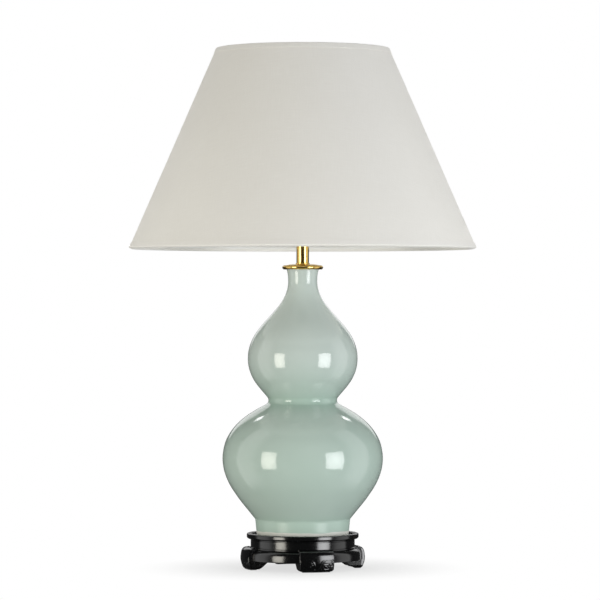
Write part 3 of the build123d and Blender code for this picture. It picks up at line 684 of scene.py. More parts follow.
def vase_section():
    """Outer profile, lip, inner profile, floor and hole."""
    outer = vase_outline()
    inner = (outer + WALL * left_of(outer))[14:-2:3]        # every third point between foot and lip
    outer[:, 0] += np.sin(outer[:, 1] / RING_STEP) * np.sin(outer[:, 1] / RING_DRIFT) * THROWING
    lip = eased([outer[-1], (MOUTH_R - WALL, VASE_MOUTH), inner[-1]], LIP_EASE)[5:10]   # the middle corner
    floor_z, under_z = VASE_BOTTOM + VASE_FLOOR, VASE_BOTTOM + FOOT_RING_H
    bottom = [(FOOT_R - WALL, floor_z), (VASE_HOLE_R, floor_z), (VASE_HOLE_R, under_z),
              (FOOT_R - FOOT_RING_W - 2, under_z), (FOOT_R - FOOT_RING_W, VASE_BOTTOM),
              (FOOT_R - 1.2, VASE_BOTTOM)]
    return np.vstack([outer, lip, inner[::-1], bottom])


turned("vase_celadon", vase_section(), glazed, ["vase"], 224)

# %% [markdown]
# ## The lacquered stand
#
# The stand is hardwood under black lacquer, turned on a lathe and then carved. Lacquer is almost a black
# mirror, but wood moves under it: the grain shows as long shallow ripples, and handling leaves fine
# scratches and a brown shimmer where the coat is thin. Grain runs along the board that the stand was cut
# from, so its ripples are noise stretched in one direction, used only as relief and roughness.

# %% Black lacquer
def black_lacquer():
    """Almost a black mirror, with grain as relief and brown, duller patches where it is worn."""
    lacquer = Finish("black_lacquer", {"IOR": 1.62})
    place = lacquer.place()
    along = lacquer.node("ShaderNodeMapping", {}, {"Vector": place, "Scale": (6, 70, 60)})
    grain = lacquer.noise(along, 6, 5, 0.6)
    worn = lacquer.noise(place, 55, 5, 0.65).band(0.60, 0.78)
    dust = lacquer.noise(place, 320, 3, 0.6)
    lacquer.set("Base Color", lacquer.mix(worn * 0.5, rgb(0.0022, 0.0024, 0.0027), rgb(0.014, 0.008, 0.005)))
    lacquer.set("Roughness", 0.10 + grain * 0.08 + worn * 0.10 + dust.band(0.55, 0.8) * 0.10)
    lacquer.relief(grain * 0.8 + dust * 0.2, 0.00006)
    return lacquer


lacquered = (black_lacquer(), "base", "lacquer")

# %% Plate and waist ring
PLATE_R, PLATE_LOW, PLATE_TOP = round_size("stand_top_plate")
PLATE_ROUND = 4.4       # how far the rounded underside comes in
EDGE_Z = PLATE_TOP - 5
SEAT_R, RECESS_Z, SEAT_TOP = round_size("vase_felt_ring")
RECESS_R = FOOT_R + 6.7
ROD_HOLE_R = 5.4
HOLLOW_R = 58.0
WAIST_R, BEAD_R = 76.3, 77.8
WAIST_LOW = low("stand_waist")[2]
BEAD_H = 2.4
COVE, COVE_H = 0.8, 1.4


def plate_outline():
    """Rounded underside, upright edge, lip, recess and rod hole."""
    turn = np.linspace(0, np.pi / 2, 9)
    under = np.column_stack([
        PLATE_R - PLATE_ROUND + PLATE_ROUND * np.sin(turn), EDGE_Z - (EDGE_Z - PLATE_LOW) * np.cos(turn)])
    rest = [(PLATE_R, EDGE_Z + 0.5), (PLATE_R, PLATE_TOP), (RECESS_R, PLATE_TOP), (RECESS_R, RECESS_Z),
            (ROD_HOLE_R, RECESS_Z), (ROD_HOLE_R, PLATE_LOW)]
    return np.vstack([under, eased(rest, [0, 3.4, 1.2, 0.4, 0.3, 0.3], 6)])


turned("plate_lacquered", plate_outline(), lacquered, ["stand_top_plate"], 256)

waist_corners = [
    (HOLLOW_R, WAIST_LOW), (BEAD_R, WAIST_LOW), (BEAD_R, WAIST_LOW + BEAD_H),
    (WAIST_R, WAIST_LOW + BEAD_H + 0.3), (WAIST_R, PLATE_LOW - COVE_H),
    (WAIST_R - COVE, PLATE_LOW - COVE_H + 0.2), (WAIST_R - COVE, PLATE_LOW), (HOLLOW_R, PLATE_LOW)]
waist_ring = eased(waist_corners, [0.3, 0.9, 1.1, 0.4, 0.5, 0.2, 0, 0.3])
turned("waist_ring_lacquered", waist_ring, lacquered, ["stand_waist"], 256)

# %% [markdown]
# The apron is a ring with a rounded face, notched for the four feet. The notches have parallel sides, so a
# column of points at the side of a notch sits at a different angle for each radius: the arcsine of half the
# notch over that radius. Inside a notch the radius simply stops at the notch's back wall.

# %% Apron
APRON_LOW, APRON_TOP = low("stand_apron")[2], high("stand_apron")[2]
APRON_R = 85.5
NOTCH_HALF = 25.5
NOTCH_BACK_R = 70.0


def apron_outline():
    """Low edge, nearly upright face, the curve inwards above it, top and hollow side."""
    low_edge = arc((APRON_R - 0.9, APRON_LOW + 0.8), 0.8, -90, -3, 5)
    bend = (APRON_R, APRON_LOW + 5.5)
    return np.vstack([
        low_edge,
        swell(low_edge[-1], 87, bend, 93, (0.4, 0.4), 8)[1:],
        swell(bend, 93, (80.6, APRON_TOP - 0.3), 145, (0.5, 0.4), 14)[1:],
        [(79.8, APRON_TOP), (HOLLOW_R, APRON_TOP), (HOLLOW_R, APRON_LOW)]])


def apron_points():
    """Each quarter has columns across a notch, with the radius held at its back wall, then columns
    along the face, from the notch's side to the next notch's side."""
    profile = apron_outline()
    r, z = profile[:, :1], profile[:, 1:]
    held = np.minimum(r, NOTCH_BACK_R)
    across = np.linspace(-1, 1, 9)
    side_angle = np.arcsin(NOTCH_HALF / r)
    face_share = np.linspace(0, 1, 41)
    notch_angle = across * np.arcsin(NOTCH_HALF / held)
    face_angle = side_angle + face_share * (np.pi / 2 - 2 * side_angle)
    angle = np.hstack([notch_angle, face_angle])
    radius = np.hstack([np.tile(held, (1, len(across))), np.tile(r, (1, len(face_share)))])
    quarter = np.stack([radius * np.cos(angle), radius * np.sin(angle), z + 0 * angle], axis=-1)
    return np.concatenate([swung(quarter, turn) for turn in QUARTERS.values()], axis=1)


shaped("apron_lacquered", apron_points(), lacquered, ["stand_apron"])

# %% [markdown]
# Each foot is a stack of level slices. A slice is a strip between an inner and an outer radius, as wide as
# the foot is at that height: full width above and rounded in towards the floor. The front is carved with a
# pair of cloud scrolls inside a thin border, an old ornament for such stands. The carver's cuts are grooves
# along spirals, so the depth of the cut at a point is a smooth function of its distance from the nearest
# spiral.

# %% Slices of a foot
PAD_T = high("felt_pad_front")[2]
FOOT_HALF = 25.5
FOOT_ROUND = 4.0
SHOULDER_R, SHOULDER_Z = BEAD_R + 3.5, high("stand_foot_front")[2]
BULGE_R, BULGE_Z = -low("stand_foot_front")[1], 17.0
TOE_OUT_R, TOE_IN_R, TOE_LIFT, TOE_EASE = 86.5, 74.5, 2.2, 1.4
KNEE_IN_R = 62.0        # where the foot's back meets the apron


def foot_half_width(z):
    """Half the foot's width at a height: a quarter circle takes it in near the floor."""
    lift = np.clip(PAD_T + FOOT_ROUND - z, 0, FOOT_ROUND)
    return FOOT_HALF - FOOT_ROUND + np.sqrt(FOOT_ROUND ** 2 - lift ** 2)


def foot_levels():
    """Height, outer radius and inner radius of every slice, from the floor up."""
    toe, bulge = (TOE_OUT_R + TOE_LIFT * 0.7, PAD_T + TOE_LIFT), (BULGE_R, BULGE_Z)
    sole = (80, PAD_T)
    rising = np.vstack([
        eased([(TOE_OUT_R, PAD_T), toe, sole], TOE_EASE)[1:4],     # round the sole's edge
        swell(toe, 75, bulge, 90, (0.3, 0.5), 34),
        swell(bulge, 90, (SHOULDER_R, SHOULDER_Z), 180, (0.5, 0.45), 30)[1:]])
    rising = rising[np.argsort(rising[:, 1])]
    outer, z = rising.T
    slant = TOE_IN_R + (z - PAD_T) / (APRON_LOW - PAD_T) * (KNEE_IN_R - TOE_IN_R)
    inner = np.select([z < APRON_LOW, z < APRON_TOP], [slant, NOTCH_BACK_R + 0 * z], BEAD_R + 0.2)
    return z, outer, inner


print("a foot has", len(foot_levels()[0]), "slices")

# %% Carving
GROOVE_W = 0.80
GROOVE_D = 0.42
CARVED_TOP = 17.0
BORDER_IN, BORDER_W = 2.0, 0.4      # the border's distance from the foot's edge, and its width
RAISED_H, RAISED_W = 0.35, 1.2      # the ground stands proud beside a cut


def scroll(centre, size, start, turns, squash):
    """A spiral: the radius shrinks evenly to a fifth while the angle turns."""
    t = np.linspace(0, 1, 90)
    angle = math.radians(start) + t * turns * 2 * math.pi
    radius = size * (1 - 0.8 * t)
    return np.column_stack([centre[0] + radius * np.cos(angle), centre[1] + radius * np.sin(angle) * squash])


def carving(x, z):
    """Depth of the carving at places on the foot's face, in millimetres, cut inwards."""
    aside = np.abs(x)
    cuts = np.vstack([
        scroll((13.0, 8.2), 8.8, 250, -1.75, 0.62),
        scroll((20.6, 10.6), 3.4, 200, -1.25, 0.9),
        swell((2.0, 3.6), 35, (7.5, 13.6), 60, (0.5, 0.4), 40),
        swell((7.5, 13.6), 40, (22.5, 15.4), -30, (0.4, 0.4), 40)])
    away = np.hypot(aside[..., None] - cuts[:, 0], z[..., None] - cuts[:, 1]).min(axis=-1)
    edge_away = np.abs(np.minimum(foot_half_width(z) - aside, (z - PAD_T) * 0.9) - BORDER_IN)
    border = GROOVE_D * 0.45 * np.exp(-(edge_away / BORDER_W) ** 2) * (z < CARVED_TOP)
    beside = np.clip(away - RAISED_W, 0, None)
    raised = RAISED_H * np.exp(-(beside / RAISED_W) ** 2) * (z < CARVED_TOP + 2)
    return GROOVE_D * np.exp(-(away / GROOVE_W) ** 2) + border - raised


print(f"cut {carving(np.array([13.0]), np.array([2.75]))[0]:.2f} mm deep under the large scroll")

# %% Carved feet
EDGE_ROUND = 0.6


def foot_points():
    """The front foot. Round a slice runs s: across the front, down one side, back, up the other."""
    z, outer, inner = foot_levels()
    half = foot_half_width(z)
    front = np.linspace(-1, 1, 121)
    side = np.linspace(0, 1, 7)[1:-1]
    back = np.linspace(1, -1, 15)
    share = np.concatenate([front, np.ones(len(side)), back, -np.ones(len(side))])
    depth = np.concatenate([np.zeros(len(front)), side, np.ones(len(back)), side[::-1]])
    x = half[:, None] * share
    r = outer[:, None] + (inner - outer)[:, None] * depth
    corner = np.clip(np.abs(x) - (half[:, None] - EDGE_ROUND), 0, EDGE_ROUND)
    r = r - (depth == 0) * (EDGE_ROUND - np.sqrt(EDGE_ROUND ** 2 - corner ** 2))
    height = np.broadcast_to(z[:, None], x.shape)
    r[:, :len(front)] -= carving(x[:, :len(front)], height[:, :len(front)])
    y = -np.sqrt(np.maximum(r ** 2 - x ** 2, 1))
    return np.stack([x, y, height], axis=-1)


foot = foot_points()
for name, turn in QUARTERS.items():
    shaped(f"foot_{name}_carved", swung(foot, turn), lacquered, [f"stand_foot_{name}"], close_rows=False)

# %% [markdown]
# Felt strips under the feet keep the lacquer off the table, and a felt ring lies under the vase. Felt has no
# weave, only matted fibre: noise for its colour, strong fine relief, and a soft sheen at grazing angles. Each
# strip follows its foot's sole. The hollow stand has a moulded bush in its waist ring, a turned piece laid on
# its side.

# %% Felt strips
MATTED = {"Roughness": 0.95, "Specular IOR Level": 0.15, "Sheen Weight": 0.5, "Sheen Roughness": 0.6}
felt = cloudy_finish("matted_felt", MATTED, (1400, 4, 0.7), (0.3, 0.7),
                     (rgb(0.010, 0.010, 0.012), rgb(0.040, 0.040, 0.044)), depth=0.00035)
felted = (felt, "base", "felt")
PAD_IN_R, PAD_OUT_R, PAD_MIDDLE_R, PAD_HALF = 75.6, 85.4, 80.5, 20.5
SEAT_RING_W = 12.0


def pad_points():
    """The front foot's strip: an eased section carried along an arc round the lamp's axis, and
    shrunk to a line at both ends."""
    section = eased_box(PAD_IN_R, PAD_OUT_R, 0, PAD_T, 0.35)
    share = np.linspace(-1, 1, 25)
    full = np.sqrt(1 - np.clip((np.abs(share) - 0.93) / 0.07, 0, 1) ** 2)[None, :]
    r = PAD_MIDDLE_R + (section[:, :1] - PAD_MIDDLE_R) * (0.9 + 0.1 * full)
    angle = share * math.asin(PAD_HALF / PAD_MIDDLE_R)
    return np.stack([r * np.sin(angle), -r * np.cos(angle), section[:, 1:] * full], axis=-1)


pad = pad_points()
for name, turn in QUARTERS.items():
    shaped(f"pad_{name}_felt", swung(pad, turn), felted, [f"felt_pad_{name}"], close_columns=False)

seat_ring = eased_box(SEAT_R - SEAT_RING_W, SEAT_R, RECESS_Z, SEAT_TOP, 0.35)
turned("seat_ring_felt", seat_ring, felted, ["vase_felt_ring"])

# %% Cord bush
black_plastic = cloudy_finish("moulded_black", {"IOR": 1.5}, (2600, 2), None,
                              (rgb(0.010, 0.010, 0.011), rgb(0.016, 0.016, 0.017)),
                              (0.36, 0.12), depth=0.00004)
BUSH_BORE_R, BUSH_R, BUSH_FLANGE_R = 3.2, 4.2, 5.2
BUSH_Z = (WAIST_LOW + BEAD_H + PLATE_LOW - COVE_H) / 2
FLANGE_FROM, FLANGE_TO = WAIST_R + 0.3, WAIST_R + 1.9
bush_corners = [
    (BUSH_BORE_R, HOLLOW_R), (BUSH_R, HOLLOW_R), (BUSH_R, FLANGE_FROM), (BUSH_FLANGE_R, FLANGE_FROM),
    (BUSH_FLANGE_R, FLANGE_TO), (BUSH_BORE_R, FLANGE_TO)]
bush = eased(bush_corners, [0.2, 0.2, 0, 0.3, 0.7, 0.8])
turned("cord_bush_moulded", bush, (black_plastic, "base", "bush_plastic"), ["cord_bush"], 64,
       level_place(BUSH_Z, turn=45))

# %% [markdown]
# ## Brass
#
# The cap, the stem and the lampholder are polished and lacquered brass. A single gold colour looks like
# paint. Real brass keeps the marks of the lathe, which are fine rings round the axis, so the noise is read
# at (radius, height) instead of (x, y, z): then it can only change from ring to ring. Patches of slightly
# deeper colour and softer polish stand for age.

# %% Polished brass
def polished_brass():
    """Fine rings from the lathe, and patches of deeper, duller gold."""
    brass = Finish("polished_brass", {"Metallic": 1.0, "Coat Roughness": 0.04})
    place = brass.place()
    marks = brass.noise(brass.ring_place(place), 2200, 2, 0.6)
    aged = brass.noise(place, 45, 4, 0.6).band(0.40, 0.75)
    brass.set("Base Color", brass.mix(aged * 0.7, rgb(0.83, 0.56, 0.17), rgb(0.66, 0.41, 0.105)))
    brass.set("Roughness", 0.10 + marks * 0.07 + aged * 0.08)
    brass.relief(marks, 0.000012)
    return brass


brass = polished_brass()
in_brass = (brass, "base", "brass")

# %% Cap, collar and stem
CAP_R, CAP_TOP = high("vase_cap")[0], high("vase_cap")[2]
CAP_ROLL_R, CAP_ROLL_Z = 3.1, VASE_MOUTH + 0.35
CAP_FLAT_R = 11.0
CAP_SHEET = 1.5
ROD_BORE_R = 5.15
COLLAR_R, COLLAR_BORE_R, COLLAR_SLEEVE = 10.2, 8.0, 8.0


def cap_outline():
    """Flat top, dome, rolled bead and the hollow underneath."""
    roll = arc((CAP_R - CAP_ROLL_R, CAP_ROLL_Z), CAP_ROLL_R, 128, -180, 30)
    dome = swell((CAP_FLAT_R, CAP_TOP), 0, roll[0], -28, (0.5, 0.3), 18)
    under_z = CAP_TOP - CAP_SHEET
    under = [(MOUTH_R - WALL / 2, VASE_MOUTH), (17.5, under_z - 1.1), (CAP_FLAT_R, under_z),
             (ROD_BORE_R, under_z), (ROD_BORE_R, CAP_TOP)]
    return np.vstack([dome[:-1], roll, under])


turned("cap_spun_brass", cap_outline(), in_brass, ["vase_cap"])
STEM_R, COLLAR_TOP, STEM_TOP = round_size("stem_tube")
collar_corners = [
    (ROD_BORE_R, CAP_TOP), (COLLAR_R, CAP_TOP), (COLLAR_R, COLLAR_TOP), (COLLAR_BORE_R, COLLAR_TOP),
    (COLLAR_BORE_R, COLLAR_TOP + COLLAR_SLEEVE), (ROD_BORE_R, COLLAR_TOP + COLLAR_SLEEVE)]
collar = eased(collar_corners, [0.2, 0.3, 0.7, 0.1, 0.3, 0.3])
turned("stem_collar_brass", collar, in_brass, ["stem_collar"], 96)
stem = eased_box(STEM_R - 1.1, STEM_R, COLLAR_TOP, STEM_TOP, 0.35)
turned("stem_tube_brass", stem, in_brass, ["stem_tube"], 128)

# %% [markdown]
# ## The lampholder
#
# The bell and the threaded skirt are brass. The skirt's outer thread carries two rings that clamp the
# shade's carrier, and the bulb screws into a rolled thread inside. A thread is a surface of two parameters:
# the angle, and the height along the tube. The radius depends on height minus pitch times turns, so the
# ridge climbs by one pitch each turn and needs no sweep.

# %% Threads
THREAD_SIDES = 96


def threaded(bottom, top, crest, root, pitch, bore_r, steps, sharp=False):
    """Closed tube with a thread outside: radius = crest or root by the phase (z / pitch - turns),
    faded out at both ends, with a plain bore."""
    a = np.linspace(0, 2 * np.pi, THREAD_SIDES + 1)
    z = np.linspace(bottom, top, int((top - bottom) / pitch * steps))[:, None]
    turns = z / pitch - a / (2 * np.pi)
    wave = np.abs((turns * 2) % 2 - 1) if sharp else 0.5 + 0.5 * np.cos(turns * 2 * np.pi)
    fade = np.clip((z - bottom) / pitch, 0, 1) * np.clip((top - z) / pitch, 0, 1)
    r = root + (crest - root) * wave * fade
    outside = np.stack([r * np.cos(a), r * np.sin(a), z + 0 * a], axis=-1)
    back_down = z[[-1, 0]]
    bore = np.stack([
        bore_r * np.cos(a) + 0 * back_down, bore_r * np.sin(a) + 0 * back_down, back_down + 0 * a], axis=-1)
    return np.concatenate([outside, bore], axis=0)


print("thread helper ready")

# %% Bell and skirt
CUP_R, CUP_TOP = high("holder_cup")[0], high("holder_cup")[2]
CUP_BORE_R, BOSS_R = 5.05, 9.9
SOCKET_R, INSERT_R = 19.8, 17.0     # where the skirt sits, and the opening for the insert
SHELF_Z = CUP_TOP - 5
SHELL_R, SHELL_LOW, SHELL_TOP = round_size("holder_shell")
SKIRT_PITCH, SKIRT_DEEP = 2.5, 0.8
SKIRT_BORE_R = SHELL_R - 1.0


def cup_outline():
    """Boss, bell and thin rim outside; threaded socket and shelf inside."""
    return np.vstack([
        [(CUP_BORE_R, STEM_TOP), (BOSS_R - 0.3, STEM_TOP), (BOSS_R, STEM_TOP + 0.3),
         (BOSS_R, STEM_TOP + 3.6)],
        swell((BOSS_R, STEM_TOP + 4), 10, (CUP_R, SHELF_Z - 1), 90, (0.4, 0.4), 20),
        [(CUP_R, SHELF_Z + 0.6), (CUP_R - 0.4, SHELF_Z + 1.0), (CUP_R, SHELF_Z + 1.4), (CUP_R, CUP_TOP - 0.4),
         (CUP_R - 0.4, CUP_TOP), (SOCKET_R, CUP_TOP), (SOCKET_R, SHELF_Z), (INSERT_R, SHELF_Z),
         (INSERT_R, SHELF_Z - 1.5), (8.0, STEM_TOP + 9), (CUP_BORE_R, STEM_TOP + 9)]])


turned("holder_bell_brass", cup_outline(), in_brass, ["holder_cup"], 128)
skirt = threaded(
    SHELL_LOW, SHELL_TOP, SHELL_R, SHELL_R - SKIRT_DEEP, SKIRT_PITCH, SKIRT_BORE_R, steps=8, sharp=True)
holder_skirt = shaped("holder_skirt_brass", skirt, in_brass, ["holder_shell"], close_columns=False)
skirt_lip = eased_box(INSERT_R, SKIRT_BORE_R, SHELL_TOP - 1.0, SHELL_TOP, 0.3)
turned("holder_skirt_lip", skirt_lip, in_brass, [], 96)

# %% [markdown]
# The switch bar passes through the skirt, so the skirt needs two holes. A Boolean modifier cuts them with a
# rod that is wider than the bar, and the result is made the piece's own mesh.

# %% Holes for the switch bar
SWITCH_Z = (low("switch_bar")[2] + high("switch_bar")[2]) / 2
BAR_HOLE_R = 3.1
DRILL_LONG = 100        # longer than the skirt is wide


def drilled(piece, radius, height):
    """Cut a level hole along X right through a piece, at a height."""
    bpy.ops.mesh.primitive_cylinder_add(vertices=40, radius=radius * MM, depth=DRILL_LONG * MM,
                                        location=(0, 0, height * MM), rotation=(0, math.pi / 2, 0))
    drill = bpy.context.object
    cut = piece.modifiers.new("drill", "BOOLEAN")
    cut.object = drill
    cut.solver = "EXACT"
    result = bpy.data.meshes.new_from_object(piece.evaluated_get(bpy.context.evaluated_depsgraph_get()))
    piece.modifiers.clear()
    piece.data = result
    bpy.data.objects.remove(drill)
    result.set_sharp_from_angle(angle=SHARP)
    print(f"{piece.name}: {len(result.polygons)} faces after drilling")


drilled(holder_skirt, BAR_HOLE_R, SWITCH_Z)

# %% [markdown]
# The two clamp rings are moulded in ivory phenolic with hollows round the edge for the fingers. The edge's
# radius is a plain circle less a smooth notch at every twentieth of a turn.

# %% Clamp rings
def ivory_phenolic():
    """Cream flow marks under a moulded skin with its own, finer gloss."""
    ivory = Finish("ivory_phenolic", {"IOR": 1.55})
    place = ivory.place()
    flow = ivory.noise(place, 120, 4, 0.6)
    ivory.set("Base Color", ivory.mix(flow.band(0.3, 0.7), rgb(0.70, 0.665, 0.58), rgb(0.78, 0.75, 0.67)))
    ivory.set("Roughness", 0.28 + ivory.noise(place, 900, 2) * 0.15)
    ivory.relief(ivory.noise(place, 1500, 2), 0.00003)
    return ivory


ivory = ivory_phenolic()
GRIPS = 20
GRIP_D = 0.8


def clamp_ring(name, node, body):
    """An eased ring whose outer radius dips by a smooth notch at each grip."""
    outer, bottom, top = round_size(node)
    bore = SHELL_R + 0.05
    profile = eased_box(bore, outer, bottom, top, 0.6)
    points = spun(profile, GRIPS * 12)
    a = np.linspace(0, 2 * np.pi, GRIPS * 12, endpoint=False)
    notch = GRIP_D * (0.5 + 0.5 * np.cos(a * GRIPS)) ** 3
    share = np.clip((profile[:, :1] - bore) / (outer - bore), 0, 1) ** 4
    points[..., :2] *= (1 - share * notch / outer)[..., None]
    return shaped(name, points, (ivory, body, "ring_phenolic"), [node])


clamp_ring("clamp_ring_lower_ivory", "shade_ring_lower", "base")
clamp_ring("clamp_ring_upper_ivory", "shade_ring_upper", "clamp_ring")

# %% Switch knobs
KNOB_R = 4.5
KNOB_BORE = 2.55
for name, side in SIDES.items():
    node = f"switch_knob_{name}"
    near, far = reach(node)
    knob = np.vstack([
        [(KNOB_BORE, near), (KNOB_R - 0.5, near), (KNOB_R, near + 0.5)],
        swell((KNOB_R, far - 1.6), 90, (0, far), 180, (0.35, 0.75), 10),
        [(0, far - 1.0), (KNOB_BORE, far - 1.0)]])
    turned(f"switch_knob_{name}_black", knob, (black_plastic, "switch", "knob"), [node], 56,
           level_place(SWITCH_Z, side))

# %% [markdown]
# ## The bulb
#
# An opal bulb: thin glass, coated white inside, on an aluminium screw cap. The coating hides the glass's
# depth, so the finish is a bright, smooth, slightly glossy white with a little light passing through it.

# %% Opal glass and aluminium
def spun_aluminium():
    """Fine rings from the spinning tool, under cloudy smudges."""
    metal = Finish("spun_aluminium", {"Metallic": 1.0})
    place = metal.place()
    marks = metal.noise(metal.ring_place(place), 2500, 2)
    smudge = metal.noise(place, 120, 4, 0.6)
    metal.set("Base Color", metal.mix(smudge.band(0.4, 0.7), rgb(0.72, 0.72, 0.73), rgb(0.60, 0.60, 0.61)))
    metal.set("Roughness", 0.24 + marks * 0.12 + smudge * 0.06)
    metal.relief(marks, 0.00002)
    return metal


aluminium = spun_aluminium()
in_aluminium = (aluminium, "bulb", "bulb_cap")
opal = cloudy_finish("opal_glass", {"IOR": 1.5, "Subsurface Weight": 0.25, "Subsurface Scale": 0.004},
                     (90, 4, 0.6), (0.35, 0.7), (rgb(0.80, 0.80, 0.775), rgb(0.86, 0.86, 0.84)),
                     (0.12, 0.10), (400, 2), 0.00002)

# %% Bulb
GLASS_R, GLASS_LOW, GLASS_TOP = round_size("bulb_glass")
GLASS_T = 0.8
SCREW_R, CAP_LOW, CAP_HIGH = round_size("bulb_cap")
SCREW_PITCH, SCREW_DEEP, SCREW_SHEET = 3.63, 1.0, 1.6
TIP_R = 8.5             # where the cap's rim meets the black insulator


def glass_outline(offset):
    """Neck and sphere, moved inwards by an offset."""
    radius, middle = GLASS_R - offset, GLASS_TOP - GLASS_R
    return np.vstack([
        swell((SCREW_R - offset, GLASS_LOW), 90, (radius, middle), 90, (0.4, 0.45), 28)[:-1],
        arc((0, middle), radius, 0, 90, 24)])


glass = np.vstack([glass_outline(0), glass_outline(GLASS_T)[::-1]])
turned("bulb_glass_opal", glass, (opal, "bulb", "opal_glass"), ["bulb_glass"], 96)
screw = threaded(
    CAP_LOW + 2, CAP_HIGH - 1, SCREW_R, SCREW_R - SCREW_DEEP, SCREW_PITCH, SCREW_R - SCREW_SHEET, steps=14)
shaped("bulb_screw_cap", screw, in_aluminium, ["bulb_cap"], close_columns=False)
rim_corners = [
    (TIP_R, CAP_LOW), (TIP_R + 2, CAP_LOW), (SCREW_R - SCREW_DEEP, CAP_LOW + 2.1),
    (SCREW_R - 1.8, CAP_LOW + 2.4), (TIP_R, CAP_LOW + 0.8)]
turned("bulb_cap_rim", eased(rim_corners, 0.25), in_aluminium, [], 72)
collar = eased_box(SCREW_R - SCREW_SHEET, SCREW_R, CAP_HIGH - 1.3, CAP_HIGH + 0.3, 0.3)
turned("bulb_cap_collar", collar, in_aluminium, [], 72)

# %% [markdown]
# ## The shade's carrier
#
# A stirrup of bent steel strip stands on the lampholder and carries a gimbal ring between two rivets, so
# the shade can be set level. Three wires rise from the ring to the top hoop. All of it is powder coated
# white. The coat is thick, slightly pebbled, and rounds every edge.

# %% White powder coat and zinc
def powder_coat():
    """Pebbled gloss that has yellowed in clouds."""
    coat = Finish("powder_coat", {"IOR": 1.5})
    place = coat.place()
    pebble = coat.noise(place, 900, 2, 0.4)
    yellowed = coat.noise(place, 30, 3).band(0.45, 0.8)
    coat.set("Base Color", coat.mix(yellowed, rgb(0.80, 0.80, 0.785), rgb(0.77, 0.76, 0.73)))
    coat.set("Roughness", 0.30 + pebble * 0.12)
    coat.relief(pebble, 0.00008)
    return coat


enamel = powder_coat()
coated = (enamel, "shade", "frame_wire")
zinc = cloudy_finish("zinc_plate", {"Metallic": 1.0}, (300, 4, 0.6), (0.35, 0.7),
                     (rgb(0.55, 0.56, 0.58), rgb(0.66, 0.67, 0.69)), (0.30, 0.14), (1200, 2), 0.00002)

# %% Stirrup
FLAT = math.radians(0.5)        # faces closer than this to one plane are joined
CORNER = math.radians(35)       # edges sharper than this are rounded


def rounded_copy(node, name, dressing, ease):
    """A merged copy of a flat-sided piece, its flat faces joined and its edges rounded by a Bevel."""
    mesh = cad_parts[node].data.copy()
    mesh.materials.clear()
    work = bmesh.new()
    work.from_mesh(mesh)
    bmesh.ops.remove_doubles(work, verts=work.verts, dist=MERGE)
    bmesh.ops.dissolve_limit(work, angle_limit=FLAT, verts=work.verts, edges=work.edges)
    work.to_mesh(mesh)
    work.free()
    smooth(mesh)
    piece = linked(name, mesh)
    bevel = piece.modifiers.new("ease", "BEVEL")
    bevel.width = ease * MM
    bevel.segments = 2
    bevel.limit_method = "ANGLE"
    bevel.angle_limit = CORNER
    bevel.harden_normals = True
    return dress(piece, dressing, [node])


rounded_copy("gimbal_stirrup", "stirrup_coated", (enamel, "carrier", "frame_wire"), 0.35)

# %% Rivets
RING_R, RING_LOW, RING_TOP = round_size("gimbal_ring")
PIVOT_Z = (RING_LOW + RING_TOP) / 2
PIVOT_R, HEAD_R, TAIL_R = 2.0, 4.2, 3.2
HEAD_T, TAIL_T = 2.4, 1.5
for name, side in SIDES.items():
    node = f"gimbal_pivot_{name}"
    near, far = reach(node)
    head_from, tail_to = far - HEAD_T, near + TAIL_T
    rivet = np.vstack([
        [(0, near), (TAIL_R - 0.5, near), (TAIL_R, near + 0.5), (TAIL_R, tail_to), (PIVOT_R, tail_to),
         (PIVOT_R, head_from), (HEAD_R - 0.2, head_from)],
        swell((HEAD_R, head_from + 0.3), 90, (0, far), 180, (0.4, 0.6), 12)])
    turned(f"gimbal_rivet_{name}", rivet, (zinc, "carrier", "steel"), [node], 56, level_place(PIVOT_Z, side))

# %% Gimbal ring and hoops
RING_T = 1.6
WIRE_R = 2.0


def hoop_middle(node):
    """Radius and height of the middle of a hoop's wire."""
    return high(node)[::2] - WIRE_R


ring_section = eased_box(RING_R - RING_T, RING_R, RING_LOW, RING_TOP, 0.5)
turned("gimbal_ring_coated", ring_section, coated, ["gimbal_ring"])
for node in ("shade_wire_top", "shade_wire_bottom"):
    turned(f"{node}_coated", arc(hoop_middle(node), WIRE_R, 0, 345, 23), coated, [node], 240)

# %% [markdown]
# An arm is a wire with an upright foot welded to the gimbal ring, one bend, and a straight run to the hoop.
# The wire is a circle carried along that path. The path lies in one upright plane, so the circle's two
# directions are easy: one is the path's own normal in that plane, and the other is square to the plane. A
# slight thickening at both ends is the weld.

# %% Arms
ARM_R = 1.75
ARM_FOOT_R = RING_R + ARM_R
ARM_FOOT_HALF = 4.5     # half the length of the upright foot
ARM_BEND = 7.0
WELD_TOP, WELD_FOOT = 0.5, 0.15     # how much thicker the wire is at its welded ends


